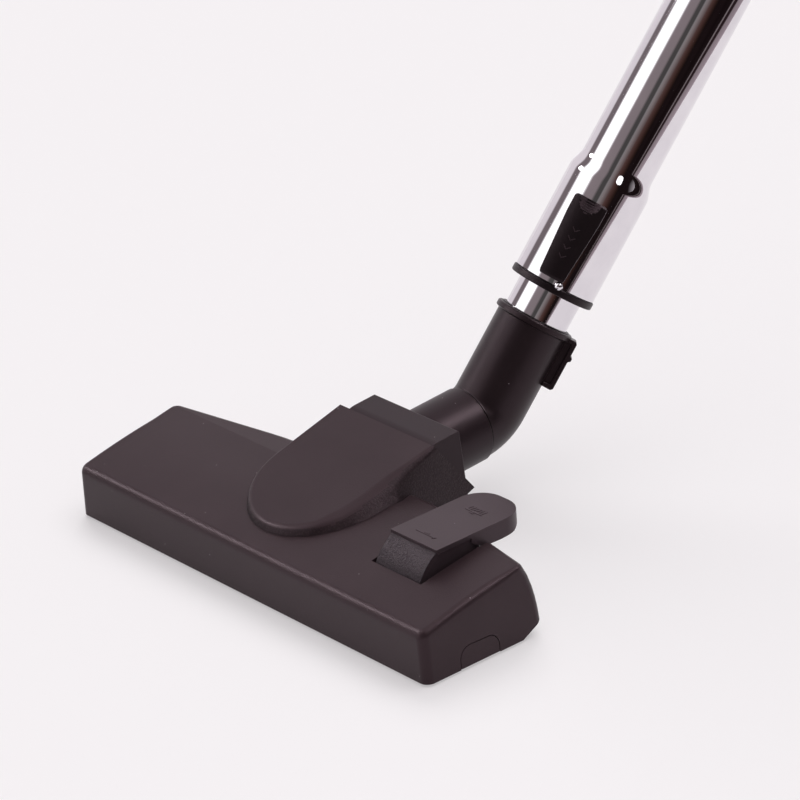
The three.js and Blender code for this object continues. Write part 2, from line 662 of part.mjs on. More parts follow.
const tubeStart = ringStart + ringThick + gap;
const shoulderStart = tubeStart + housingLength;
const narrowStart = shoulderStart + shoulderLength;
const tubeEnd = tubeStart + outerLength;
const latchFrom = tubeStart + 2.7;
const latchLength = 41;
const latchStemFrom = latchFrom + 12;
const latchStem = 12;
const latchTravel = 2.5;
function outerTube() {
  const profile = [];
  const ease = (t) => t * t * (3 - 2 * t);
  const steps = 4;
  const radiusAt = (t) => housingRadius + (outerRadius - housingRadius) * ease(t);
  profile.push([housingRadius, tubeStart]);
  for (let i = 0; i <= steps; i++) profile.push([radiusAt(i / steps), shoulderStart + (shoulderLength * i) / steps]);
  profile.push([outerRadius, tubeEnd], [outerRadius - tubeWall, tubeEnd]);
  for (let i = steps; i >= 0; i--) {
    profile.push([radiusAt(i / steps) - tubeWall, shoulderStart + (shoulderLength * i) / steps]);
  }
  profile.push([housingRadius - tubeWall, tubeStart]);
  let s = turned(profile, 36);
  const slot = wandBox(14, 26, -4.6, 4.6, latchStemFrom - latchTravel - 0.6, latchStemFrom + latchStem + 0.6, latchTurn);
  s = s.subtract(slot);
  return s;
}
place(wand, 'outer_tube', outerTube(), chrome);
place(wand, 'end_ring', pipe(innerRadius + gap, housingRadius + 0.4, ringStart, ringStart + ringThick, 48), darkPlastic);
place(wand, 'lower_guide', pipe(innerRadius + gap, housingRadius - tubeWall - gap, tubeStart, tubeStart + 6), darkPlastic);
place(wand, 'upper_guide', pipe(innerRadius + gap, outerRadius - tubeWall - gap, narrowStart + 1, narrowStart + 28),
  darkPlastic);
place(wand, 'top_ferrule', pipe(outerRadius - tubeWall, outerRadius + 0.9, tubeEnd + gap, tubeEnd + 6), darkPlastic);

// latch: a slider over the housing, its carrier and spring between the tubes
function shellSector(r0, r1, half, z0, z1) {
  const ring = pipe(r0, r1, z0, z1, 48);
  return ring.intersect(wandBox(5, 40, -half, half, z0 - 1, z1 + 1, latchTurn));
}
function latchSlider() {
  const seat = housingRadius + gap;
  let s = shellSector(seat, seat + 1.9, 7.4, latchFrom, latchFrom + latchLength);
  const g = new THREE.SphereGeometry(16, 24, 16);
  g.translate(seat + 14.6, 0, latchFrom + latchLength - 3);
  g.rotateZ(deg(latchTurn));
  s = s.subtract(solid(g));
  s = s.add(wandBox(housingRadius - tubeWall - 0.1, seat + 0.6, -4, 4, latchStemFrom, latchStemFrom + latchStem, latchTurn));
  return s;
}
place(wand, 'latch_slider', latchSlider(), darkPlastic);
const carrierFrom = latchStemFrom - 5;
const carrierTo = latchStemFrom + latchStem + 3;
const carrierTop = housingRadius - tubeWall - 0.4;
place(wand, 'latch_carrier', shellSector(innerRadius + gap, carrierTop, 6.5, carrierFrom, carrierTo), darkPlastic);
const springR = (innerRadius + housingRadius - tubeWall) / 2;
const springPlace = V(springR, 0, 0).applyAxisAngle(V(0, 0, 1), deg(latchTurn));
const latchSpring = coil(1.1, 0.3, carrierTo + gap, shoulderStart + 2, 4, springPlace);
place(wand, 'latch_spring', latchSpring, steel);

export default root;
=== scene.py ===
# %% [markdown]
# # A vacuum cleaner's floor head and telescopic wand
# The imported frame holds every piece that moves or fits, with plain faceted shapes. This lesson
# rebuilds the pieces that show, such as the moulded shells and the chromed tubes, around that frame,
# gives each its finish, and lights them in a small studio.

# %% Load the frame
import json
import math

import bmesh
import bpy
from mathutils import Matrix, Vector


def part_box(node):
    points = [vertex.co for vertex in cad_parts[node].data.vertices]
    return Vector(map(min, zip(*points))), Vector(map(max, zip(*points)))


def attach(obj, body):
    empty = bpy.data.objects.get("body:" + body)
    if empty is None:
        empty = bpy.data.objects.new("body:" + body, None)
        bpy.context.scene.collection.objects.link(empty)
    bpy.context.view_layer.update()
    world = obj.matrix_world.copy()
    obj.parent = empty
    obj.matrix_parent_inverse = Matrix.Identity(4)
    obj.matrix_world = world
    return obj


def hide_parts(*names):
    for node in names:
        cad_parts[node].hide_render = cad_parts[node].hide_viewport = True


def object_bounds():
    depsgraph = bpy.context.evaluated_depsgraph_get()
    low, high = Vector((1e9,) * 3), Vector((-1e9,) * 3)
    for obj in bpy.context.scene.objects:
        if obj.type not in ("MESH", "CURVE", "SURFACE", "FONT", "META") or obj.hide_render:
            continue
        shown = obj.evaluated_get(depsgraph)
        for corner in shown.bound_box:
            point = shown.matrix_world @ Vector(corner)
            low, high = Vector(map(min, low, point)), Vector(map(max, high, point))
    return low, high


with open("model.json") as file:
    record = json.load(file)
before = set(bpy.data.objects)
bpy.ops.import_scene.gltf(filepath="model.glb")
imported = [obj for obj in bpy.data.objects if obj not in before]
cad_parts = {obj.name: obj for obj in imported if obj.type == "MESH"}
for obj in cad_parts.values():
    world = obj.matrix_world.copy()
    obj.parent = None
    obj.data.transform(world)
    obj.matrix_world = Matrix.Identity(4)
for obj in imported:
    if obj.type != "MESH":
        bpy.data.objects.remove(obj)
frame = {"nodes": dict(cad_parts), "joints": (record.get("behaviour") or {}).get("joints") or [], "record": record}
cad_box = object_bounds()
nodes = frame["nodes"]
joints = {joint["name"]: joint for joint in frame["joints"]}
MM = 0.001

# %% [markdown]
# The camera comes first, because everything else is judged through it. A long lens, far away, keeps
# the head's edges almost parallel.

# %% Camera
CAMERA_PLACE = Vector((1.4929, -1.1207, 0.9678))
CAMERA_RIGHT = Vector((0.64491, 0.76029, -0.07778))
CAMERA_UP = Vector((-0.28299, 0.33209, 0.89980))


def axes_matrix(place, x_axis, y_axis):
    """A place and two axes as a matrix; the third axis follows by the right-hand rule."""
    x_axis = x_axis.normalized()
    z_axis = x_axis.cross(y_axis).normalized()
    y_axis = z_axis.cross(x_axis)
    return Matrix.Translation(place) @ Matrix((x_axis, y_axis, z_axis)).transposed().to_4x4()


bpy.ops.object.camera_add()
camera = bpy.context.object
camera.matrix_world = axes_matrix(CAMERA_PLACE, CAMERA_RIGHT, CAMERA_UP)
camera.data.sensor_width = 36
camera.data.lens = 202.5
camera.data.clip_end = 50
bpy.context.scene.camera = camera

# %% [markdown]
# Three local frames carry most of the work: the neck turns about a pivot, the elbow leaves the neck's
# axis, and the wand leaves the elbow at a bend. All three come from the joints of the frame.

# %% Local frames of the neck, the elbow and the wand
X, Y, Z = Vector((1, 0, 0)), Vector((0, 1, 0)), Vector((0, 0, 1))
pivot = Vector(joints["neck_tilt"]["pos_m"])
swivel = Vector(joints["elbow_swivel"]["pos_m"])
neck_way = Vector(joints["elbow_swivel"]["axis"]).normalized()
wand_way = Vector(joints["wand_telescope"]["axis"]).normalized()
bend_axis = neck_way.cross(wand_way).normalized()
bend_angle = neck_way.angle(wand_way)
BEND_RADIUS = 18.6 * MM
bend_start = BEND_RADIUS * math.tan(bend_angle / 2)
neck_frame = axes_matrix(pivot, X, neck_way)
elbow_frame = axes_matrix(swivel, bend_axis, neck_way)
wand_corner = swivel + neck_way * bend_start
wand_frame = axes_matrix(wand_corner, bend_axis, wand_way.cross(bend_axis))
print("bend", round(math.degrees(bend_angle), 1), "degrees")

# %% [markdown]
# A few small tools repeat what a hand does in edit mode: draw a closed line point by point, bridge
# such lines into a skin, pick faces or edges by their place, and cut one piece with another.

# %% Drawing tools
def leave_edit():
    if bpy.context.object and bpy.context.object.mode != "OBJECT":
        bpy.ops.object.mode_set(mode="OBJECT")
    bpy.ops.object.select_all(action="DESELECT")


def focus(piece):
    leave_edit()
    piece.select_set(True)
    bpy.context.view_layer.objects.active = piece


def named(name):
    """Names the object that was just added."""
    piece = bpy.context.object
    piece.name = piece.data.name = name
    return piece


def settle(piece):
    """Makes a piece's place, turn and size part of its mesh."""
    focus(piece)
    bpy.ops.object.transform_apply(location=True, rotation=True, scale=True)
    return piece


def empty_piece(name):
    leave_edit()
    bpy.ops.mesh.primitive_plane_add(size=1)
    piece = named(name)
    bpy.ops.object.mode_set(mode="EDIT")
    bpy.ops.mesh.delete(type="VERT")
    return piece


def pick(kind, where):
    """Selects, in edit mode, the vertices or edges that answer where."""
    bpy.ops.mesh.select_mode(type=kind)
    bpy.ops.mesh.select_all(action="DESELECT")
    data = bpy.context.object.data
    mesh = bmesh.from_edit_mesh(data)
    for item in mesh.verts if kind == "VERT" else mesh.edges:
        if where(item):
            item.select_set(True)
    mesh.select_flush_mode()
    bmesh.update_edit_mesh(data)


def pick_within(*groups):
    """Selects the edges whose two ends are in the same group of vertices."""
    groups = [set(group) for group in groups]
    pick("EDGE", lambda edge: any({vert.index for vert in edge.verts} <= group for group in groups))


def face_outward():
    """Turns every face outward and leaves edit mode."""
    bpy.ops.mesh.select_all(action="SELECT")
    bpy.ops.mesh.normals_make_consistent(inside=False)
    leave_edit()


def wire(points):
    """Draws a closed line: one vertex is pulled from point to point, and the ends are joined."""
    mesh = bmesh.from_edit_mesh(bpy.context.object.data)
    count = len(mesh.verts)
    bpy.ops.mesh.select_mode(type="VERT")
    bpy.ops.mesh.select_all(action="DESELECT")
    bpy.ops.mesh.primitive_plane_add(size=0.001, location=points[0])
    bpy.ops.mesh.merge(type="CENTER")
    for here, there in zip(points, points[1:]):
        bpy.ops.mesh.extrude_vertices_move(TRANSFORM_OT_translate={"value": there - here})
    last = count + len(points) - 1
    pick("VERT", lambda vert: vert.index in (count, last))
    bpy.ops.mesh.edge_face_add()
    return range(count, last + 1)


def loft(name, rings, halves=False):
    """A skin over several closed lines of equally many points, with both ends filled.

    The upper end is one face, or its right half is bridged to the mirrored left half.
    """
    piece = empty_piece(name)
    loops = [wire([Vector(point) for point in ring]) for ring in rings]
    for low, high in zip(loops, loops[1:]):
        pick_within(low, high)
        bpy.ops.mesh.bridge_edge_loops()
    for loop in loops[:1] if halves else (loops[0], loops[-1]):
        pick_within(loop)
        bpy.ops.mesh.edge_face_add()
    if halves:
        half = len(loops[-1]) // 2
        pick_within(loops[-1][:half], loops[-1][half:])
        bpy.ops.mesh.bridge_edge_loops()
    face_outward()
    return piece


def prism(name, outline, way):
    """A closed outline pulled straight along way."""
    return loft(name, [outline, [Vector(point) + way for point in outline]])


def close_skin():
    """Joins the first ring of a pulled skin to the last."""
    pick("EDGE", lambda edge: len(edge.link_faces) < 2)
    bpy.ops.mesh.bridge_edge_loops()
    face_outward()


def turned(name, profile, sides):
    """A circle pulled and resized along a profile of radii and heights in mm, then closed."""
    leave_edit()
    (radius, height), *rest = [(r * MM, z * MM) for r, z in profile]
    bpy.ops.mesh.primitive_circle_add(vertices=sides, radius=radius, location=(0, 0, height))
    piece = named(name)
    bpy.ops.object.mode_set(mode="EDIT")
    bpy.ops.mesh.select_all(action="SELECT")
    for new_radius, new_height in rest:
        bpy.ops.mesh.extrude_region_move(TRANSFORM_OT_translate={"value": (0, 0, new_height - height)})
        scale = new_radius / radius
        bpy.ops.transform.resize(value=(scale, scale, 1), center_override=(0, 0, new_height))
        radius, height = new_radius, new_height
    close_skin()
    return settle(piece)


def put(piece, matrix):
    """Moves a piece that was modelled in a local frame to its place, and makes that its mesh."""
    leave_edit()
    piece.matrix_world = matrix @ piece.matrix_world
    return settle(piece)


def apply(piece, kind, **settings):
    focus(piece)
    modifier = piece.modifiers.new(kind.lower(), kind)
    for name, value in settings.items():
        setattr(modifier, name, value)
    bpy.ops.object.modifier_apply(modifier=modifier.name)
    return piece


def cut(piece, tool, how="DIFFERENCE"):
    """Cuts a piece with a tool, or unites or intersects the two, and removes the tool."""
    apply(piece, "BOOLEAN", operation=how, object=tool, solver="EXACT")
    bpy.data.objects.remove(tool, do_unlink=True)
    return piece


def soften(piece, width, segments, angle=32):
    """Rounds, width mm wide, every edge sharper than angle."""
    return apply(piece, "BEVEL", width=width * MM, segments=segments, limit_method="ANGLE",
                 angle_limit=math.radians(angle))


def tidy(piece):
    """Merges what a cut leaves double."""
    focus(piece)
    bpy.ops.object.mode_set(mode="EDIT")
    bpy.ops.mesh.select_all(action="SELECT")
    bpy.ops.mesh.remove_doubles(threshold=0.02 * MM)
    face_outward()
    return piece


def box(name, low, high):
    leave_edit()
    low, high = Vector(low), Vector(high)
    bpy.ops.mesh.primitive_cube_add(size=1, location=(low + high) / 2)
    piece = named(name)
    piece.scale = high - low
    return settle(piece)


def rod(name, radius, start, end, centre=(0, 0), axis="X", sides=48):
    """A round bar along X or Y; radius and ends are in mm, the centre line's place in metres."""
    leave_edit()
    middle = (start + end) / 2 * MM
    place = (middle, *centre) if axis == "X" else (centre[0], middle, centre[1])
    turn = (0, math.pi / 2, 0) if axis == "X" else (math.pi / 2, 0, 0)
    bpy.ops.mesh.primitive_cylinder_add(vertices=sides, radius=radius * MM, depth=abs(end - start) * MM,
                                        location=place, rotation=turn)
    return settle(named(name))


def join(first, *others):
    focus(first)
    for other in others:
        other.select_set(True)
    bpy.ops.object.join()
    return first


def arc(centre, radius, first, last, steps):
    """Points of an arc as pairs; the angles are in degrees."""
    out = []
    for step in range(steps + 1):
        angle = math.radians(first + (last - first) * step / steps)
        out.append((centre[0] + radius * math.cos(angle), centre[1] + radius * math.sin(angle)))
    return out


def smoothstep(value, low, high):
    t = min(max((value - low) / (high - low), 0), 1)
    return t * t * (3 - 2 * t)


def finish(piece, material, body, slot, *replaced, angle=30):
    """The closing step of each piece: shading, finish, the body it rides on, the node it stands for."""
    focus(piece)
    bpy.ops.object.shade_smooth_by_angle(angle=math.radians(angle))
    apply(piece, "WEIGHTED_NORMAL", keep_sharp=True, weight=80)
    piece.data.materials.clear()
    piece.data.materials.append(material)
    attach(piece, body)
    if replaced:
        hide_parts(*replaced)
    print(piece.name, len(piece.data.polygons), "faces")
    return piece


# %% [markdown]
# ## Finishes
# Colours are written as hex values and turned to linear light by one function. One more function adds
# a node with its settings and its links.

# %% Colour and node tools
def srgb(code):
    """A hex colour as linear red, green, blue and alpha."""
    channels = [int(code[i:i + 2], 16) / 255 for i in (1, 3, 5)]
    linear = [c / 12.92 if c <= 0.04045 else ((c + 0.055) / 1.055) ** 2.4 for c in channels]
    return (*linear, 1)


def add(tree, kind, settings=None, **inputs):
    """Adds a node; an input is a value, or a socket to link. Underscores stand for blanks."""
    node = tree.nodes.new(kind)
    for name, value in (settings or {}).items():
        setattr(node, name, value)
    for name, value in inputs.items():
        key = int(name[1:]) if name[0] == "i" and name[1:].isdigit() else name.replace("_", " ")
        if isinstance(value, bpy.types.NodeSocket):
            tree.links.new(value, node.inputs[key])
        else:
            node.inputs[key].default_value = value
    return node


def new_material(name):
    material = bpy.data.materials.new(name)
    material.use_nodes = True
    tree = material.node_tree
    shader = tree.nodes["Principled BSDF"]
    where = add(tree, "ShaderNodeTexCoord").outputs["Object"]
    return material, tree, shader, where


def ramp(tree, fac, *stops):
    """A colour ramp of (position, hex) stops."""
    node = add(tree, "ShaderNodeValToRGB", Fac=fac)
    elements = node.color_ramp.elements
    while len(elements) < len(stops):
        elements.new(0.5)
    for element, (position, code) in zip(elements, stops):
        element.position = position
        element.color = srgb(code)
    return node.outputs["Color"]


def noise(tree, where, size_mm, detail=2.0, rough=0.5):
    """Noise whose lumps are about size_mm across."""
    node = add(tree, "ShaderNodeTexNoise", Vector=where, Scale=1 / (size_mm * MM), Detail=detail,
               Roughness=rough)
    return node.outputs["Fac"]


def scaled(tree, value, low, high):
    node = add(tree, "ShaderNodeMapRange", {"clamp": True}, Value=value, To_Min=low, To_Max=high)
    return node.outputs["Result"]


def maths(tree, first, second, operation="ADD"):
    return add(tree, "ShaderNodeMath", {"operation": operation}, i0=first, i1=second).outputs[0]


def bump(tree, height, depth_mm, normal=None):
    node = add(tree, "ShaderNodeBump", Height=height, Strength=1.0, Distance=depth_mm * MM)
    if normal is not None:
        tree.links.new(normal, node.inputs["Normal"])
    return node.outputs["Normal"]


# %% [markdown]
# **Moulded ABS.** The shells are ABS, moulded in a spark-eroded steel tool: a dark, slightly warm
# brown-black with a fine even grain of about half a millimetre. The grain breaks up the highlights,
# and a little dust and handling leave the sheen uneven.

# %% Finely grained ABS
def plastic_gloss(shader):
    """A weak surface reflection with the plastic's warm cast."""
    shader.inputs["IOR"].default_value = 1.5
    shader.inputs["Specular IOR Level"].default_value = 0.3
    shader.inputs["Specular Tint"].default_value = (1, 0.74, 0.84, 1)


def moulded_abs(name, dark, light, grain_mm, depth_mm, roughness, dust="#8d8488"):
    material, tree, shader, where = new_material(name)
    cloud = noise(tree, where, 38, 3)
    grain = noise(tree, where, grain_mm, 2, 0.6)
    tone = ramp(tree, cloud, (0.3, dark), (0.7, light))
    speck = add(tree, "ShaderNodeTexVoronoi", {"feature": "F1"}, Vector=where, Scale=1 / (9 * MM))
    is_speck = add(tree, "ShaderNodeMath", {"operation": "LESS_THAN"},
                   i0=speck.outputs["Distance"], i1=0.028).outputs[0]
    colour = add(tree, "ShaderNodeMix", {"data_type": "RGBA"})
    tree.links.new(is_speck, colour.inputs["Factor"])
    tree.links.new(tone, colour.inputs["A"])
    colour.inputs["B"].default_value = srgb(dust)
    tree.links.new(colour.outputs["Result"], shader.inputs["Base Color"])
    sheen = maths(tree, scaled(tree, cloud, roughness - 0.05, roughness + 0.05),
                 scaled(tree, grain, -0.06, 0.06))
    tree.links.new(sheen, shader.inputs["Roughness"])
    tree.links.new(bump(tree, grain, depth_mm), shader.inputs["Normal"])
    plastic_gloss(shader)
    return material


abs_smooth = moulded_abs("abs_fine_grain", "#281d20", "#2f2427", 0.6, 0.07, 0.41)
abs_block = moulded_abs("abs_satin_block", "#170f12", "#1d1417", 0.5, 0.03, 0.4)
abs_pedal = moulded_abs("abs_smooth_pedal", "#3a3034", "#41373b", 0.4, 0.015, 0.4)
abs_elbow = moulded_abs("abs_elbow", "#1c1517", "#221a1c", 0.45, 0.02, 0.36)
abs_black = moulded_abs("abs_black_satin", "#0c090a", "#110d0e", 0.4, 0.012, 0.4, "#3c3436")

# %% [markdown]
# **Leather-grained ABS.** The flanks of the neck cover and the front of the pedal are etched with a
# coarse leather grain: rounded cells about a millimetre across with fine valleys between them. Cells
# of two sizes are added, so that no pattern repeats.

# %% Leather-grained ABS
def leather_abs(name, dark, light, cell_mm, depth_mm, roughness):
    material, tree, shader, where = new_material(name)
    drift = noise(tree, where, cell_mm * 2, 2)
    cells = add(tree, "ShaderNodeTexVoronoi", {"feature": "SMOOTH_F1"}, Vector=where,
                Scale=1 / (cell_mm * MM), Smoothness=0.6).outputs["Distance"]
    fine = noise(tree, where, cell_mm * 0.45, 2)
    height = maths(tree, maths(tree, cells, 0.9, "MULTIPLY"), maths(tree, fine, drift), "SUBTRACT")
    tone = ramp(tree, maths(tree, fine, cells), (0.55, light), (1.15, dark))
    tree.links.new(tone, shader.inputs["Base Color"])
    tree.links.new(scaled(tree, cells, roughness - 0.08, roughness + 0.1), shader.inputs["Roughness"])
    tree.links.new(bump(tree, height, -depth_mm), shader.inputs["Normal"])
    plastic_gloss(shader)
    return material


abs_leather = leather_abs("abs_leather_grain", "#1c1416", "#2c2225", 0.9, 0.1, 0.46)
abs_pedal_front = leather_abs("abs_grey_leather_grain", "#19171a", "#29262a", 0.8, 0.1, 0.46)

# %% [markdown]
# **Chrome plate.** The wand is steel tube, polished and chromed. A metal's colour is its reflection,
# so the finish stays simple: nearly white with a cool cast, very low roughness, long faint polishing
# lines along the tube, and soft finger marks that dull it here and there.

# %% Chrome plate
def chrome_plate(name, tint="#dcd8dd", smooth=0.035):
    material, tree, shader, where = new_material(name)
    turned_in = add(tree, "ShaderNodeMapping", {"vector_type": "TEXTURE"}, Vector=where)
    turned_in.inputs["Rotation"].default_value = wand_frame.to_euler()
    turned_in.inputs["Location"].default_value = wand_corner
    stretched = add(tree, "ShaderNodeMapping", Vector=turned_in.outputs["Vector"])
    stretched.inputs["Scale"].default_value = (1, 1, 0.015)
    lines = noise(tree, stretched.outputs["Vector"], 0.5, 3, 0.6)
    marks = noise(tree, where, 24, 4, 0.6)
    tree.links.new(ramp(tree, marks, (0.35, tint), (0.75, "#e6e2e6")), shader.inputs["Base Color"])
    dull = maths(tree, scaled(tree, marks, smooth - 0.02, smooth + 0.025), scaled(tree, lines, 0, 0.02))
    tree.links.new(dull, shader.inputs["Roughness"])
    tree.links.new(bump(tree, lines, 0.0006), shader.inputs["Normal"])
    shader.inputs["Metallic"].default_value = 1
    return material


chrome = chrome_plate("chrome_plated_steel")

# %% [markdown]
# **The hidden pieces** get their own finishes too: brushed stainless steel for the sole, zinc plate
# for pins and springs, dull rubber for wheels and seals, black nylon bristles and a red pile that
# picks up threads.

# %% Steel, rubber, bristles and pile
def metal(name, code, line_mm, stretch, roughness):
    material, tree, shader, where = new_material(name)
    lined = add(tree, "ShaderNodeMapping", Vector=where)
    lined.inputs["Scale"].default_value = stretch
    lines = noise(tree, lined.outputs["Vector"], line_mm, 3, 0.7)
    tree.links.new(ramp(tree, lines, (0.2, code), (0.9, "#d4d6d8")), shader.inputs["Base Color"])
    tree.links.new(scaled(tree, lines, roughness - 0.08, roughness + 0.12), shader.inputs["Roughness"])
    tree.links.new(bump(tree, lines, 0.004), shader.inputs["Normal"])
    shader.inputs["Metallic"].default_value = 1
    return material


def rubber(name):
    material, tree, shader, where = new_material(name)
    bloom = noise(tree, where, 6, 4)
    tree.links.new(ramp(tree, bloom, (0.3, "#151415"), (0.8, "#242223")), shader.inputs["Base Color"])
    tree.links.new(scaled(tree, bloom, 0.65, 0.85), shader.inputs["Roughness"])
    tree.links.new(bump(tree, noise(tree, where, 0.35), 0.03), shader.inputs["Normal"])
    return material


def fibres(name, dark, light, fibre_mm, stretch):
    material, tree, shader, where = new_material(name)
    lined = add(tree, "ShaderNodeMapping", Vector=where)
    lined.inputs["Scale"].default_value = stretch
    hair = noise(tree, lined.outputs["Vector"], fibre_mm, 3, 0.7)
    tree.links.new(ramp(tree, hair, (0.35, dark), (0.7, light)), shader.inputs["Base Color"])
    tree.links.new(bump(tree, hair, 0.25), shader.inputs["Normal"])
    shader.inputs["Roughness"].default_value = 0.85
    shader.inputs["Sheen Weight"].default_value = 0.3
    return material


sole_steel = metal("brushed_stainless_steel", "#9a9c9f", 0.4, (0.03, 1, 1), 0.34)
zinc = metal("zinc_plated_steel", "#8c8f92", 0.8, (1, 1, 1), 0.4)
seal_rubber = rubber("black_rubber")
bristles = fibres("nylon_bristles", "#0d0d0e", "#3a3a3d", 0.3, (1, 1, 0.08))
red_pile = fibres("red_thread_pile", "#4a0b10", "#a12a2f", 0.45, (1, 1, 1))

# %% Finishes for the frame's own nodes
own_finish = {
    "sole_metal": sole_steel, "steel_parts": zinc, "rubber_parts": seal_rubber,
    "bristle_nylon": bristles, "lint_fabric": red_pile, "black_plastic": abs_black,
    "shell_plastic": abs_smooth, "pedal_plastic": abs_pedal, "chrome_tube": chrome,
}
for part in frame["record"]["subparts"]:
    mesh = nodes[part["node"]].data
    mesh.materials.clear()
    mesh.materials.append(own_finish[part["material_slot"]])
print(len(own_finish), "finishes on", len(nodes), "nodes")

# %% [markdown]
# ## The floor head
# **The top shell** is one injection moulding: a low wedge, highest at the rear, with a rear wall that
# bulges behind the neck and leans in as it rises. Its outline is drawn at several heights, and the
# last lines turn over the upper edge, which gives the even highlights of a moulding. The hollow and
# the end plugs have sharp edges: they are the outline pulled up and cut to the side profile.

# %% The head's form
shell_low, shell_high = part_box("top_shell")
HALF = shell_high.x / MM
FRONT_LEAN = 3.0
FRONT = shell_low.y + 2.8 * MM
FRONT_HEIGHT, REAR_HEIGHT, CROWN = 25.8, shell_high.z / MM, 1.2
DEPTH, BULGE, CORNER = 70, 12, 4.5
FOOT = 1.2
EDGE_FRONT, EDGE_REAR, RISE_FROM = 3.4, 1.8, 18
GAP = 0.3


def at(x, y, z):
    """A point from millimetres: x along the head, y behind its lower front edge, z over the floor."""
    return Vector((x * MM, FRONT + y * MM, z * MM))


def slab(name, left, right, outline):
    """A side outline, in millimetres, pulled along the head from left to right."""
    return prism(name, [at(left, y, z) for y, z in outline], X * (right - left) * MM)


def top_height(y):
    t = min(max((y + FRONT_LEAN) / 64, 0), 1)
    return FRONT_HEIGHT + (REAR_HEIGHT - FRONT_HEIGHT) * t + 4 * CROWN * t * (1 - t)


def plan_line(grow=0.0):
    """The head's outline at the floor, counter-clockwise from its front right corner."""
    right = arc((HALF - CORNER, CORNER), CORNER + grow, -90, 0, 10)
    right += [(HALF + grow, y) for y in range(9, 62, 4)]
    right += arc((HALF - CORNER, DEPTH - CORNER), CORNER + grow, 0, 76, 8)
    right += [(66, DEPTH + 10 + grow), (58, DEPTH + 11.2 + grow), (50, DEPTH + BULGE + grow),
              (40, DEPTH + BULGE + 0.3 + grow)]
    return right + [(-x, y) for x, y in reversed(right)]


def leaned(x, y, z):
    """A point of the outline at a height: the rear leans in along an ellipse, the ends a little."""
    lean = 15.7 * (1 - math.sqrt(1 - min(z / 42, 0.98) ** 2))
    return x * (1 - 1.4 / HALF * z / 38), y - lean * smoothstep(y, 20, 58), z


def plan_outline(z, grow=0.0):
    return [at(*leaned(x, y, z)) for x, y in plan_line(grow)]


def side_profile(grow=0.0):
    """Front face, bowed top, and a foot that rises towards the rear; open below when it is inset."""
    foot_front, foot_rear = (FOOT, 7.6) if grow == 0 else (-5, -5)
    front_top = top_height(-FRONT_LEAN)
    points = [(-0.14 - grow, foot_front), (-FRONT_LEAN * front_top / FRONT_HEIGHT - grow, front_top + grow)]
    points += [(y, top_height(y) + grow) for y in range(2, 62, 3)]
    return points + [(66, REAR_HEIGHT + grow), (110, REAR_HEIGHT + grow), (110, foot_rear + 0.8),
                     (DEPTH, foot_rear), (57, foot_front)]


def head_solid(name, grow=0.0):
    heights = (0, 6, 12, 18, 23, 28, 32, 36, 40, 44) if grow == 0 else (-6, 0, 12, 23, 32, 40)
    solid = loft(name, [plan_outline(z, grow) for z in heights])
    return cut(solid, slab("profile", -150, 150, side_profile(grow)), "INTERSECT")


def rounded_head(name):
    """The same form with its upper edge rounded over, widely in front and at the ends."""
    line = plan_line()
    rings = [plan_outline(z) for z in (0, 6, 12, RISE_FROM)]
    for part, turn in [(0.35, 0), (0.7, 0)] + [(1, turn) for turn in range(0, 91, 15)]:
        ring = []
        for index, (x, y) in enumerate(line):
            along = (Vector(line[(index + 1) % len(line)]) - Vector(line[index - 1])).normalized()
            radius = EDGE_FRONT + (EDGE_REAR - EDGE_FRONT) * smoothstep(y, 50, 68)
            inset = radius * (1 - math.cos(math.radians(turn)))
            drop = radius * (1 - math.sin(math.radians(turn)))
            x, y = x - along.y * inset, y + along.x * inset
            z = top_height(leaned(x, y, top_height(y) - drop)[1]) - drop
            ring.append(at(*leaned(x, y, RISE_FROM + part * (z - RISE_FROM))))
        rings.append(ring)
    foot = [(-20, FOOT), (57, FOOT), (DEPTH, 7.6), (110, 8.4), (110, 80), (-20, 80)]
    return cut(loft(name, rings, halves=True), slab("foot", -150, 150, foot), "INTERSECT")


def plug_outline(grow):
    points = [(20.4 - grow, -3)] + arc((26.4, 5.6), 6 + grow, 180, 96, 8)
    return points + arc((37, 5.2), 6 + grow, 84, 0, 8) + [(43 + grow, -3)]


top_shell = rounded_head("shell_moulding")
plug_blank = head_solid("plug_blank")

# %% Hollow the shell and cut its openings
SHELL_WALL, NECK_ROOM = 2.5, 31.1
SLOT_LEFT, SLOT_RIGHT, SLOT_FRONT = 64.2, 98.6, 24.6
cut(top_shell, head_solid("hollow", -SHELL_WALL))
slot = [(SLOT_FRONT, 20), (SLOT_FRONT, 60), (120, 60), (120, 22), (60, 22)]
cut(top_shell, slab("slot", SLOT_LEFT, SLOT_RIGHT, slot))
cut(top_shell, box("neck_room", at(-NECK_ROOM, 60, 3), at(NECK_ROOM, 120, 70)))
cut(top_shell, box("air_room", at(-28, 40, 20), at(28, 70, 70)))
for start in (-132, 118):
    cut(top_shell, slab("plug_room", start, start + 14, plug_outline(GAP)))
tidy(top_shell)
soften(top_shell, 0.35, 2, 50)
finish(top_shell, abs_smooth, "head", "shell_plastic", "top_shell")

# %% [markdown]
# **The end plugs** close the mould's openings in both ends. They are slices of the same solid, so they
# lie flush, and only a fine dark line gives them away.

# %% End plugs
for word, start in (("left", -134), ("right", 119.8)):
    plug = slab(f"plug_{word}", start, start + 14.2, plug_outline(0))
    blank = plug_blank.copy()
    blank.data = plug_blank.data.copy()
    bpy.context.collection.objects.link(blank)
    cut(plug, blank, "INTERSECT")
    cut(plug, box("underside", at(-150, 0, -5), at(150, 90, 1.4)))
    soften(tidy(plug), 0.3, 2, 40)
    finish(plug, abs_smooth, "head", "shell_plastic", f"end_plug_{word}")
bpy.data.objects.remove(plug_blank, do_unlink=True)

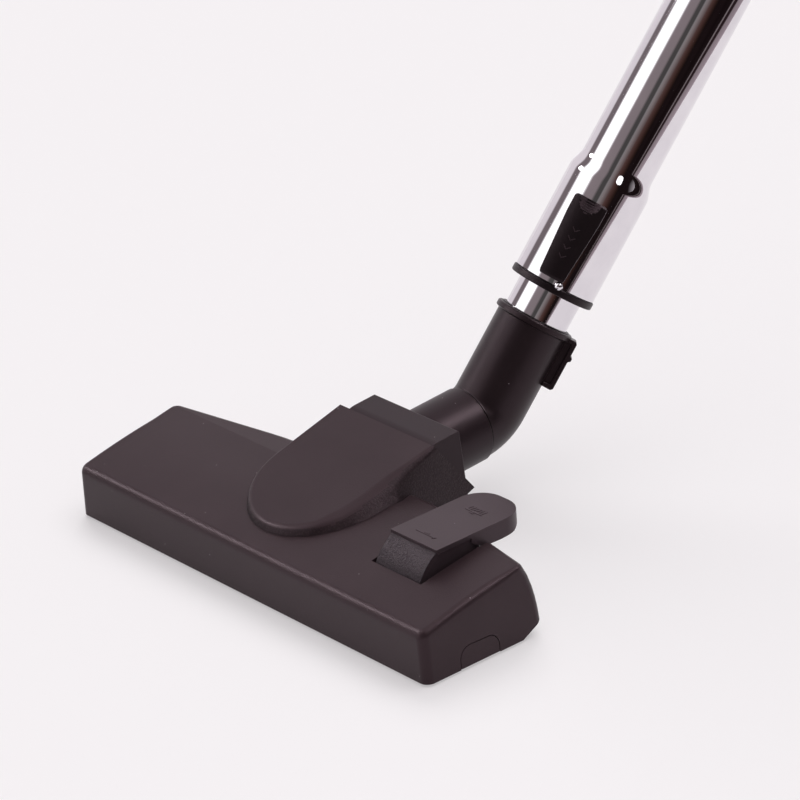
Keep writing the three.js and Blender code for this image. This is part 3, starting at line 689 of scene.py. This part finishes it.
# %% [markdown]
# **The neck cover** is the raised hump. Its top is one flat plane that climbs to the rear, its flanks
# lean in and carry the leather grain, and its nose is rounded. Two closed lines, one at its foot and
# one round the top plane, are bridged. The cheeks behind hold the neck's pivot pins.

# %% The neck cover
NOSE_PLANE, REAR_PLANE = (14, 33.6), (91.5, 54.1)
COVER_HALF, NOSE, BAY_HALF = 37.5, 13.6, 30.8
DRUM_RADIUS, DRUM_ROOM, PIN_RADIUS, PIN_ROOM = 19.6, 20.3, 3, 3.3


def cover_height(y):
    slope = (REAR_PLANE[1] - NOSE_PLANE[1]) / (REAR_PLANE[0] - NOSE_PLANE[0])
    return NOSE_PLANE[1] + slope * (y - NOSE_PLANE[0])


def cover_foot():
    """Half of the foot's outline, from the nose to the rear."""
    half = []
    for step in range(25):
        t = 1 - math.cos(math.radians(90 * step / 24))
        half.append((COVER_HALF * math.sqrt(max(1 - (1 - t) ** 2.1, 0)), NOSE + 40 * t))
    return half + [(COVER_HALF, y) for y in (58, 63, 66, 72.5, 79, 86, 92, 100, 108, 118)]


def between(y, stations):
    """Smooth values between (y, value) stations."""
    for (y0, v0), (y1, v1) in zip(stations, stations[1:]):
        if y <= y1:
            return v0 + (v1 - v0) * smoothstep(y, y0, y1)
    return stations[-1][1]


# The left flank stands almost upright; the right one slopes away, which leaves room beside the pedal.
LEAN = {-1: ((NOSE, 1.2), (30, 0.8), (118, 0.8)),
        1: ((NOSE, 1.4), (22, 2.2), (31, 4.6), (46, 6.2), (66, 5.9), (79, 3.8), (92, 1.8), (118, 0.5))}
ROUNDING = {-1: ((NOSE, 3.4), (24, 2.2), (40, 1.2), (118, 1.0)),
            1: ((NOSE, 3.4), (30, 4.2), (60, 4.6), (91, 2.8), (118, 1.0))}
CHEEK = ((66, 0), (79, 1.5), (92, 3.3), (104, 4.4), (118, 4.8))
KNEE = ((69, 37.9), (78, 31), (92, 25), (118, 21))


def cover_rings(inset=0.0, sink=0.0):
    """The foot line, the flank, its rounding and the edge of the top plane, as closed lines."""
    half = cover_foot()
    steps = (None,) if inset else (0, 0.15, 0.3, 0.45, 0.6, 0.8, 1)
    sides = {}
    for side in (-1, 1):
        rings = [[] for _ in range(2 + len(steps))]
        for index, (x, y) in enumerate(half):
            (bx, by), (ax, ay) = half[max(index - 1, 0)], half[min(index + 1, len(half) - 1)]
            along = Vector((ax - bx, ay - by)).normalized() if index else X.xy
            out = Vector((along.y, -along.x))
            if side > 0:
                x -= between(y, CHEEK)
            foot = Vector((x - out.x * inset, y - out.y * inset, 0))
            lean = between(y, LEAN[side]) + inset
            corner = Vector((max(x - out.x * lean, 0), y - out.y * lean, 0))
            if inset and y > 66:
                foot.x = corner.x = BAY_HALF
            base = Vector((foot.x, foot.y, (top_height(y) + 0.1 if y < 69 else 12) - sink))
            foot.z = base.z + 0.05 if y < 69 or inset else between(y, KNEE)
            corner.z = cover_height(corner.y) - inset
            down = (foot - corner).normalized()
            radius = min(between(y, ROUNDING[side]), (foot - corner).length * 0.6)
            inward = Vector((max(corner.x - out.x * radius, 0), corner.y - out.y * radius, 0))
            inward.z = cover_height(inward.y)
            rings[0].append(base)
            rings[1].append(foot)
            for ring, t in zip(rings[2:], steps):
                if t is None:
                    ring.append(corner)
                else:
                    start = corner + down * radius
                    ring.append(start * (1 - t) ** 2 + corner * 2 * t * (1 - t) + inward * t ** 2)
        sides[side] = rings
    closed = []
    for left, right in zip(sides[-1], sides[1]):
        closed.append([at(-point.x, point.y, point.z) for point in reversed(left[1:])]
                      + [at(*point) for point in right])
    return closed


neck_cover = loft("hump_moulding", cover_rings())
cut(neck_cover, loft("hump_hollow", cover_rings(2.6, 8)))
rear = [(REAR_PLANE[0], 90), (REAR_PLANE[0], 54.2), (113.2, 24.8), (101, 20.5), (93, 24.5), (76, 31),
        (73.5, 31), (73.5, 0), (160, 0), (160, 90)]
cut(neck_cover, slab("rear_cut", -60, 60, rear))
cut(neck_cover, rod("drum_room", DRUM_ROOM, -BAY_HALF, BAY_HALF, pivot.yz, sides=128))
cut(neck_cover, rod("pin_room", PIN_ROOM, -35, 32, pivot.yz))
tidy(neck_cover)
soften(neck_cover, 0.3, 2, 50)
finish(neck_cover, abs_smooth, "head", "shell_plastic", "neck_cover")


for word, start, end in (("left", -34.7, -22), ("right", 22, 31.8)):
    pin = rod(f"pin_{word}", PIN_RADIUS, start, end, pivot.yz)
    finish(soften(pin, 0.4, 3), zinc, "head", "steel_parts", f"pivot_pin_{word}")


def second_finish(piece, material, where):
    """Gives the picked faces another finish."""
    piece.data.materials.append(material)
    chosen = 0
    for face in piece.data.polygons:
        if where(face.center, face.normal):
            face.material_index = len(piece.data.materials) - 1
            chosen += 1
    print(chosen, "faces of", piece.name, "in", material.name)


second_finish(neck_cover, abs_leather, lambda place, normal: normal.z < 0.62 or normal.x > 0.55)

# %% [markdown]
# ## The pedal
# The rocker pedal is a flat plate on a curved front. The front is an arc about the pedal's pin, so it
# fills its slot at every angle. The plate is smooth, the front has a grey leather grain, and two
# generic signs, a bare floor and a brush, stand a little proud of the plate.

# %% The pedal's solids
pedal_low, pedal_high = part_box("pedal")
PEDAL_LEFT, PEDAL_RIGHT = pedal_low.x / MM, pedal_high.x / MM
PEDAL_TOP, PEDAL_REAR, PEDAL_FRONT = pedal_high.z / MM, 91, 36.2
PIN_Y, PIN_Z = 54, 15
PEDAL_RADIUS = 32.8
PLATE = 2.2


def pedal_plan(inset, z):
    """The plate seen from above: square in front, round at the rear."""
    left, right, rear_edge = PEDAL_LEFT + inset, PEDAL_RIGHT - inset, PEDAL_REAR - inset
    radius = 13 - inset
    points = [(left, PEDAL_FRONT - (inset and 20)), (right, PEDAL_FRONT - (inset and 20))]
    points += arc((right - radius, rear_edge - radius), radius, 0, 90, 12)
    points += arc((left + radius, rear_edge - radius), radius, 90, 180, 12)
    return [at(x, y, z) for x, y in points]


pedal = prism("pedal_moulding", pedal_plan(0, 30), Z * (PEDAL_TOP - 30) * MM)
skirt = [(30, 50), (30, PEDAL_TOP - PLATE), (57, PEDAL_TOP - PLATE)]
skirt += arc((68.5, 52), 17, 226, 262, 4)
skirt += [(74, 34.9), (83, 35.4), (88, 37), (91.6, 39.6), (93, 42), (93, 50)]
cut(pedal, slab("skirt", 60, 102, skirt), "INTERSECT")
tidy(pedal)
soften(pedal, 0.9, 4, 40)
cut(pedal, prism("under", pedal_plan(2.2, 25), Z * (PEDAL_TOP - PLATE - 25) * MM))
front_arc = arc((PIN_Y, PIN_Z), PEDAL_RADIUS, 122.5, 166, 24)
front_arc += arc((PIN_Y, PIN_Z), PEDAL_RADIUS - 2.4, 166, 121, 24)
curved = slab("front", PEDAL_LEFT + 0.6, PEDAL_RIGHT - 0.6, front_arc)
soften(curved, 0.35, 2, 60)
cheek = [(50, 17), (27, 24), (24.2, 28), (28, 34.2), (36.6, 42.2), (66, 42.2), (62, 36), (58, 17)]
cheeks = [slab("cheek", x, x + 2.4, cheek) for x in (PEDAL_LEFT + 1, PEDAL_RIGHT - 3.4)]
pin_line = at(0, PIN_Y, PIN_Z).yz
hub = rod("hub", 4.4, PEDAL_LEFT + 1, PEDAL_RIGHT - 1, pin_line)
middle = (SLOT_LEFT + SLOT_RIGHT) / 2
finger = [(PIN_Y, PIN_Z - 4.2), (67, 10.9), (68, 10.4), (72, 10.4), (72, 13.5), (PIN_Y, PIN_Z + 4)]
finger = slab("finger", middle - 4, middle + 4, finger)
for solid in (*cheeks, hub, finger, curved):
    cut(pedal, solid, "UNION")
cut(pedal, rod("pin_hole", 2.3, 60, 104, pin_line, sides=32))
tidy(pedal)

# %% Signs on the plate
SIGN, SUNK = 0.22, 0.2


def strip(x0, y0, x1, y1, width):
    """A thin raised line on the plate, in millimetres from the middle of its front edge's line."""
    start, end = Vector((centre_x + x0, y0)), Vector((centre_x + x1, y1))
    way = (end - start).normalized() * width / 2
    aside = Vector((-way.y, way.x))
    corners = (start - way - aside, end + way - aside, end + way + aside, start - way + aside)
    line = prism("line", [at(*corner, PEDAL_TOP - SUNK) for corner in corners], Z * (SUNK + SIGN) * MM)
    return soften(line, 0.12, 2, 40)


centre_x = (PEDAL_LEFT + PEDAL_RIGHT) / 2
bare_floor = [(-6, 43.5, 5.5, 43.5, 0.7), (-1.2, 44.5, 1, 44.5, 1.1), (5.6, 42.6, 6.6, 44, 0.6)]
brush = [(-5, 72, 5.4, 72, 0.7), (-0.6, 70.9, 0.9, 70.9, 1.2)]
brush += [(1.9 * tick - 4.6, 73.4, 1.9 * tick - 4.1, 75.6, 0.6) for tick in range(6)]
signs = [strip(*mark) for mark in bare_floor + brush]
join(pedal, *signs)
pedal.name = "pedal_moulding"
finish(pedal, abs_pedal, "pedal_body", "pedal_plastic", "pedal")


def on_front(place, normal):
    away = Vector((place.y - at(0, PIN_Y, 0).y, place.z - PIN_Z * MM))
    return abs(away.length - PEDAL_RADIUS * MM) < 0.5 * MM and normal.y < -0.2 and place.z < 42.4 * MM


second_finish(pedal, abs_pedal_front, on_front)

# %% [markdown]
# ## Neck and elbow
# **The neck block** is a drum between the cover's cheeks, squared off at the rear, with a round tube
# leaving its rear face. Its side profile is pulled across, and the tube is united with it.

# %% The neck block
block_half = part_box("neck_block")[1].x / MM
block_side = arc((0, 0), DRUM_RADIUS, 92, 268, 44)
block_side += [(11.4, -18.6), (12, -18), (12, 19.1), (11.4, 19.7)]
neck_block = prism("block", [Vector((-block_half, y, z)) * MM for y, z in block_side],
                   X * 2 * block_half * MM)
soften(neck_block, 0.6, 3, 35)
NECK_OUTER, NECK_BORE = 18.8, 16
NECK_LENGTH = (swivel - pivot).length / MM
neck_tube = turned("tube", [(NECK_OUTER, 6), (NECK_OUTER, NECK_LENGTH - 1.1), (18.6, NECK_LENGTH - 0.8),
                            (18.2, NECK_LENGTH - 0.65), (NECK_BORE, NECK_LENGTH - 0.65), (NECK_BORE, 6)],
                   128)
put(neck_tube, Matrix.Rotation(-math.pi / 2, 4, "X"))
cut(neck_block, neck_tube, "UNION")
cut(neck_block, rod("bore", NECK_BORE - 0.05, -30, 60, axis="Y", sides=128))
for side in (-1, 1):
    cut(neck_block, rod("pin_hole", PIN_ROOM, side * 21.6, side * 40, sides=32))
tidy(neck_block)
put(neck_block, neck_frame)
neck_block.name = "neck_moulding"
finish(neck_block, abs_block, "neck", "shell_plastic", "neck_block")

# %% [markdown]
# **The elbow** turns in the neck. A ring is pulled out of the spigot, spun round the bend, pulled along
# the wand and opened into the lip. A wall thickness makes it a tube, and the parking hook, a bracket
# that hangs the wand on the cleaner, is united with its side.

# %% The elbow
ELBOW_RADIUS, LIP_RADIUS, LIP_TOP = 18.0, 19.7, 54.0
SPIGOT_RADIUS, SPIGOT = 15.7, 14
leave_edit()
bpy.ops.mesh.primitive_circle_add(vertices=128, radius=SPIGOT_RADIUS * MM, location=(0, -SPIGOT * MM, 0),
                                  rotation=(math.pi / 2, 0, 0))
elbow = settle(named("elbow_moulding"))
bpy.ops.object.mode_set(mode="EDIT")
bpy.ops.mesh.select_all(action="SELECT")


def pull(offset, scale=1.0):
    """Pulls the selected ring on by offset, and resizes it about its own middle."""
    bpy.ops.mesh.extrude_region_move(TRANSFORM_OT_translate={"value": offset})
    if scale != 1:
        mesh = bmesh.from_edit_mesh(bpy.context.object.data)
        ring = [vertex.co for vertex in mesh.verts if vertex.select]
        middle = sum(ring, Vector()) / len(ring)
        bpy.ops.transform.resize(value=(scale, scale, scale), center_override=middle)


pull(Y * (SPIGOT - 0.2) * MM)
pull(Y * 0.05 * MM, 17.6 / SPIGOT_RADIUS)
pull(Y * 0.15 * MM, ELBOW_RADIUS / 17.6)
bpy.ops.mesh.spin(steps=32, angle=-bend_angle, center=(0, 0, BEND_RADIUS), axis=(1, 0, 0))
away = Vector((0, math.cos(bend_angle), math.sin(bend_angle)))
pull(away * ((LIP_TOP - 3.6) * MM - bend_start))
pull(away * 0.5 * MM, (LIP_RADIUS - 0.5) / ELBOW_RADIUS)
pull(away * 0.4 * MM, LIP_RADIUS / (LIP_RADIUS - 0.5))
pull(away * 2.1 * MM)
pull(away * 0.5 * MM, (LIP_RADIUS - 0.5) / LIP_RADIUS)
pull(away * 0.1 * MM, 18.0 / (LIP_RADIUS - 0.5))
pull(-away * 2.4 * MM)
pull(-away * 0.05 * MM, 16.3 / 18.0)
pull(-away * (LIP_TOP - 2.45 - 23.6) * MM)
pull(-away * 0.05 * MM, 13.5 / 16.3)
pull(-away * (23.55 * MM - bend_start))
bpy.ops.mesh.spin(steps=24, angle=bend_angle, center=(0, 0, BEND_RADIUS), axis=(1, 0, 0))
pull(-Y * SPIGOT * MM)
close_skin()
HOOK_TURN, LATCH_TURN = math.radians(40), math.radians(-60)
wand_in_elbow = elbow_frame.inverted() @ wand_frame
hook_side = [(17.2, 27), (22.2, 27), (23.2, 28), (23.2, 42.6), (24.4, 43.4), (24.4, 45), (23.2, 45.6),
             (23.2, 52), (22.2, 53), (17.2, 53), (17.2, 51.2), (20.4, 51.2), (21, 50.6), (21, 29.8),
             (20.4, 29.2), (17.2, 29.2)]
hook = prism("hook", [Vector((radius, -6, height)) * MM for radius, height in hook_side], Y * 12 * MM)
soften(hook, 0.45, 3, 40)
put(hook, wand_in_elbow @ Matrix.Rotation(HOOK_TURN, 4, "Z"))
cut(elbow, hook, "UNION")
web = box("web", Vector((17, -4.4, 28)) * MM, Vector((21.6, 4.4, 52)) * MM)
cut(elbow, put(web, wand_in_elbow @ Matrix.Rotation(HOOK_TURN, 4, "Z")), "UNION")
tidy(elbow)
put(elbow, elbow_frame)
finish(elbow, abs_elbow, "elbow_body", "shell_plastic", "elbow")


# %% Collar ring and the wand's black rings
def ring_piece(name, inner, outer, low, high, edge):
    """A ring round the wand with rounded outer corners."""
    profile = [(inner, low), (outer - edge, low)] + arc((outer - edge, low + edge), edge, -70, 0, 4)
    profile += arc((outer - edge, high - edge), edge, 0, 90, 5) + [(inner, high)]
    return put(turned(name, profile, 160), wand_frame)


finish(ring_piece("collar_insert", 16.2, 17.8, 51.8, 54.5, 0.5), abs_black, "elbow_body", "black_plastic",
       "collar_ring")
finish(ring_piece("wand_end_ring", 16.2, 21.1, 69, 72.5, 0.6), abs_black, "outer_wand", "black_plastic",
       "end_ring")
finish(ring_piece("wand_top_ring", 17.3, 19.2, 552.9, 558.8, 0.8), abs_black, "outer_wand", "black_plastic",
       "top_ferrule")

# %% [markdown]
# ## The telescopic wand
# Two chromed tubes. The outer one is widened at its lower end into the housing that carries the latch,
# and a smooth shoulder leads from one diameter to the other.

# %% The tubes
TUBE_START, TUBE_END = 72.7, 552.7
SHOULDER, NARROW = 125.7, 135.7
HOUSING_RADIUS, TUBE_RADIUS, WALL = 20.6, 18.2, 0.8
inner_profile = [(15.2, 24), (15.9, 24), (16, 24.2), (16, 493.8), (15.9, 494), (15.2, 494)]
inner_tube = turned("inner_pipe", inner_profile, 192)
finish(put(inner_tube, wand_frame), chrome, "elbow_body", "chrome_tube", "inner_tube")
skin = [(HOUSING_RADIUS - 0.25, TUBE_START), (HOUSING_RADIUS, TUBE_START + 0.3)]
for step in range(17):
    height = SHOULDER + (NARROW - SHOULDER) * step / 16
    ease = smoothstep(height, SHOULDER, NARROW)
    skin.append((HOUSING_RADIUS + (TUBE_RADIUS - HOUSING_RADIUS) * ease, height))
skin.append((TUBE_RADIUS, TUBE_END))
inside = [(radius - WALL, height) for radius, height in reversed(skin[2:])]
inside.append((HOUSING_RADIUS - WALL, TUBE_START))
outer_tube = turned("outer_pipe", skin + inside, 192)
latch_slot = box("latch_slot", Vector((14, -4.6, 84.3)) * MM, Vector((26, 4.6, 100)) * MM)
put(latch_slot, Matrix.Rotation(LATCH_TURN, 4, "Z"))
cut(outer_tube, latch_slot)
finish(put(outer_tube, wand_frame), chrome, "outer_wand", "chrome_tube", "outer_tube", angle=24)

# %% [markdown]
# **The latch** slides on the housing. It is a slice of a thicker tube, narrow at its lower end, with a
# thumb scoop and ribs at the top end and four arrows that point down the wand. A steel ball beside
# it shows through the ring.

# %% The latch
LATCH_LOW, LATCH_HIGH, LATCH_SEAT, LATCH_SKIN = 75.4, 116.4, 20.9, 23.0
latch = turned("latch_moulding", [
    (LATCH_SEAT, LATCH_LOW), (LATCH_SKIN - 0.9, LATCH_LOW), (LATCH_SKIN, LATCH_LOW + 1.8),
    (LATCH_SKIN, LATCH_HIGH - 0.8), (LATCH_SKIN - 0.8, LATCH_HIGH), (LATCH_SEAT, LATCH_HIGH)], 160)
face = [(5.6, LATCH_LOW - 1), (6.4, LATCH_LOW + 1.2), (8.5, LATCH_HIGH - 9)]
face += arc((6.9, LATCH_HIGH - 1.6), 1.6, 0, 90, 4)
face += [(-a, b) for a, b in reversed(face)]
outline = prism("latch_outline", [Vector((10, a, b)) * MM for a, b in face], X * 20 * MM)
cut(latch, outline, "INTERSECT")
leave_edit()
BOWL, BOWL_RADIUS = (38.2, LATCH_HIGH + 0.4), 17
bpy.ops.mesh.primitive_uv_sphere_add(segments=96, ring_count=64, radius=BOWL_RADIUS * MM,
                                     location=(BOWL[0] * MM, 0, BOWL[1] * MM))
cut(latch, bpy.context.object)
tidy(latch)
soften(latch, 0.3, 3, 35)
for count in range(5):
    down = 1.6 + count * 1.2
    rib_skin = BOWL[0] - math.sqrt(BOWL_RADIUS ** 2 - down ** 2) + 0.4
    reach = math.sqrt(7.5 ** 2 - down ** 2) - 0.4
    low = Vector((21.1, -reach, BOWL[1] - down - 0.27))
    high = Vector((rib_skin, reach, BOWL[1] - down + 0.27))
    join(latch, soften(box("rib", low * MM, high * MM), 0.2, 3, 40))
for count in range(4):
    height = 86 + count * 4.6
    for side in (-1, 1):
        line = box("arrow", Vector((22.2, -0.2, -0.2)) * MM, Vector((LATCH_SKIN + 0.14, 2.5, 0.2)) * MM)
        turn = Matrix.Rotation(math.radians(42), 4, "X")
        put(line, Matrix.Translation(Z * height * MM) @ Matrix.Scale(side, 4, Y) @ turn)
        join(latch, line)
join(latch, box("latch_stem", Vector((19.9, -4, 87.4)) * MM, Vector((21.5, 4, 99.4)) * MM))
focus(latch)
bpy.ops.object.mode_set(mode="EDIT")
face_outward()
put(latch, wand_frame @ Matrix.Rotation(LATCH_TURN, 4, "Z"))
finish(latch, abs_black, "latch", "black_plastic", "latch_slider")


# Painted highlight: the raised arrows and the rib tops in the thumb scoop take the lighter pedal plastic, which
# stands in for the highlights along their edges on the black latch.
def painted_highlight_faces(place, normal):
    off_axis = (place - wand_corner).cross(wand_way).length
    height = (place - wand_corner).dot(wand_way)
    if height > 106 * MM:
        return 21.6 * MM < off_axis < 22.8 * MM and abs(normal.dot(wand_way)) < 0.6
    return off_axis > (LATCH_SKIN + 0.04) * MM


second_finish(latch, abs_pedal, painted_highlight_faces)
leave_edit()
bpy.ops.mesh.primitive_uv_sphere_add(segments=48, ring_count=32, radius=2.2 * MM,
                                     location=(20.6 * MM, 0, 73.4 * MM))
bead = named("catch_ball")
put(bead, wand_frame @ Matrix.Rotation(math.radians(-45.5), 4, "Z"))
finish(bead, chrome, "outer_wand", "chrome_tube")

# %% [markdown]
# ## The studio
# A wide pale floor, a soft sky for the diffuse light, and bands of light and dark that the chrome mirrors:
# in the sky, and on a glowing card on the floor that only the gloss sees, which is a painted reflection.
# The bands are laid out by the angle round the wand, so the tube shows the same strips over its whole length.

# %% Floor and cards
floor_paint = bpy.data.materials.new("floor_paint")
floor_paint.use_nodes = True
floor_shader = floor_paint.node_tree.nodes["Principled BSDF"]
floor_shader.inputs["Base Color"].default_value = (0.52, 0.505, 0.512, 1)
floor_shader.inputs["Emission Color"].default_value = (1, 0.972, 0.985, 1)
floor_shader.inputs["Emission Strength"].default_value = 0.425
floor_shader.inputs["Roughness"].default_value = 1
floor_shader.inputs["Specular IOR Level"].default_value = 0
leave_edit()
bpy.ops.mesh.primitive_plane_add(size=24, location=(0, 0, cad_box[0][2] - 0.1 * MM))
floor = bpy.context.object
floor.name = "studio_floor"
floor.data.materials.append(floor_paint)
# Painted reflection: a card on the floor that glows in light and dark stripes. Only the gloss sees it, so it shows
# only as the floor's reflection in the chrome. The camera, the diffuse light and the shadows never meet it.
card = empty_piece("painted_reflection_card")
bpy.ops.object.mode_set(mode="EDIT")
CARD_REACH, CARD_HEIGHT = 12, 0.002
near_a, near_b = Vector((0.615, -0.041)), Vector((0.336, 0.332))
way = (near_b - near_a).normalized()
off = Vector((way.y, -way.x))
edge_place = near_a.dot(off)
near_a, near_b = near_a - way * CARD_REACH, near_b + way * CARD_REACH
far_a, far_b = near_a + off * CARD_REACH, near_b + off * CARD_REACH
wire([Vector((*point, CARD_HEIGHT)) for point in (near_a, near_b, far_b, far_a)])
bpy.ops.mesh.select_all(action="SELECT")
bpy.ops.mesh.edge_face_add()
leave_edit()
card_paint = bpy.data.materials.new("painted_reflection_stripes")
card_paint.use_nodes = True
tree = card_paint.node_tree
tree.nodes.clear()
card_place = add(tree, "ShaderNodeTexCoord").outputs["Object"]
beyond = add(tree, "ShaderNodeVectorMath", {"operation": "DOT_PRODUCT"}, i0=card_place,
             i1=(*off, 0)).outputs["Value"]
stripes = ramp(tree, maths(tree, beyond, -edge_place),
               (0, "#b3a6ab"), (0.03, "#9c8f94"), (0.11, "#8f8387"), (0.12, "#2a1f21"), (0.2, "#2a1f21"),
               (0.215, "#8a8081"), (0.24, "#8a8081"), (0.26, "#1c1415"), (0.6, "#160f10"), (1, "#1c1415"))
glow = add(tree, "ShaderNodeEmission", Color=stripes, Strength=1.0)
add(tree, "ShaderNodeOutputMaterial", Surface=glow.outputs["Emission"])
card.data.materials.append(card_paint)
card.visible_camera = card.visible_diffuse = card.visible_shadow = card.visible_transmission = False

# %% Sky and bands
ACROSS, SIDEWAYS = Vector((0.6997, -0.6256, 0.3451)), Vector((0.7020, 0.5120, -0.4951))
# Angles round the wand, in degrees, and the colour mirrored there.
BANDS = [(-180, "#f0eaee"), (-114, "#eee8ec"), (-108, "#7c7275"), (-90, "#7c7275"), (-87, "#ffffff"),
         (-48, "#ffffff"), (-44, "#8f8487"), (-21, "#8a8082"), (-15, "#4d4b4a"), (-5, "#4c4a49"),
         (-3, "#8a8686"), (3, "#857c7b"), (9, "#6c605f"), (14, "#553f3b"), (20, "#45302c"), (27, "#2b1d19"),
         (31, "#1a1213"), (60, "#1a1213"), (90, "#c8c2c5"), (180, "#f0eaee")]
BOX_MIDDLE, BOX_REACH, BOX_POWER = -67, 18.5, 1.6
# Round lamps that only the gloss sees: a way, half its width in degrees, and a strength.
SPOTS = [((0.84, 0.08, 0.54), 6, 3), ((0.40, 0.50, 0.77), 10, 12), ((-0.71, -0.38, 0.59), 7, 18)]

world = bpy.context.scene.world or bpy.data.worlds.new("studio")
bpy.context.scene.world = world
world.use_nodes = True
tree = world.node_tree
tree.nodes.clear()
way_out = add(tree, "ShaderNodeTexCoord").outputs["Generated"]


def dot(way_to):
    """How far the looked-at direction points along way_to."""
    return add(tree, "ShaderNodeVectorMath", {"operation": "DOT_PRODUCT"}, i0=way_out,
               i1=way_to).outputs["Value"]


longitude = maths(tree, dot(SIDEWAYS), dot(ACROSS), "ARCTAN2")
position = add(tree, "ShaderNodeMapRange", Value=longitude, From_Min=-math.pi,
               From_Max=math.pi).outputs["Result"]
bands = ramp(tree, position, *[((angle + 180) / 360, code) for angle, code in BANDS])
in_box = add(tree, "ShaderNodeMath", {"operation": "COMPARE"}, i0=position,
             i1=(180 + BOX_MIDDLE) / 360, i2=BOX_REACH / 360).outputs[0]
boost = scaled(tree, in_box, 1, BOX_POWER)
mask = power = 0.0
for spot_way, reach, strength in SPOTS:
    disc = add(tree, "ShaderNodeMapRange", Value=dot(Vector(spot_way).normalized()),
               From_Min=math.cos(math.radians(reach + 2)),
               From_Max=math.cos(math.radians(reach))).outputs["Result"]
    mask = maths(tree, disc, mask)
    power = maths(tree, maths(tree, disc, float(strength), "MULTIPLY"), power)
sky_colour = add(tree, "ShaderNodeMix", {"data_type": "RGBA", "clamp_factor": True}, Factor=mask)
tree.links.new(bands, sky_colour.inputs["A"])
sky_colour.inputs["B"].default_value = (1, 1, 1, 1)
boost = maths(tree, boost, power, "MAXIMUM")
glossy_sky = add(tree, "ShaderNodeBackground", Color=sky_colour.outputs["Result"], Strength=boost).outputs[0]
even_sky = add(tree, "ShaderNodeBackground", Color=srgb("#f6f0f4"), Strength=0.34).outputs[0]
pale = add(tree, "ShaderNodeBackground", Color=srgb("#f7f5f6"), Strength=1).outputs[0]
path = add(tree, "ShaderNodeLightPath")
by_gloss = add(tree, "ShaderNodeMixShader", i0=path.outputs["Is Glossy Ray"], i1=even_sky, i2=glossy_sky)
seen = add(tree, "ShaderNodeMixShader", i0=path.outputs["Is Camera Ray"], i1=by_gloss.outputs[0], i2=pale)
add(tree, "ShaderNodeOutputWorld", Surface=seen.outputs[0])


# %% Lamps
def soft_sun(name, way_from, strength, softness):
    """A distant lamp as wide as softness degrees, so that the floor is evenly lit."""
    leave_edit()
    bpy.ops.object.light_add(type="SUN", location=Vector(way_from) * 3)
    lamp = bpy.context.object
    lamp.name = name
    lamp.data.energy = strength
    lamp.data.angle = math.radians(softness)
    lamp.rotation_euler = Vector(way_from).to_track_quat("Z", "Y").to_euler()
    lamp.visible_camera = lamp.visible_glossy = False


soft_sun("top_light", (0.1, 0.25, 1), 1.3, 60)
soft_sun("key_light", (-0.55, 0.45, 0.75), 1.0, 34)
bpy.context.scene.view_settings.view_transform = "Standard"
bpy.context.scene.view_settings.look = "None"
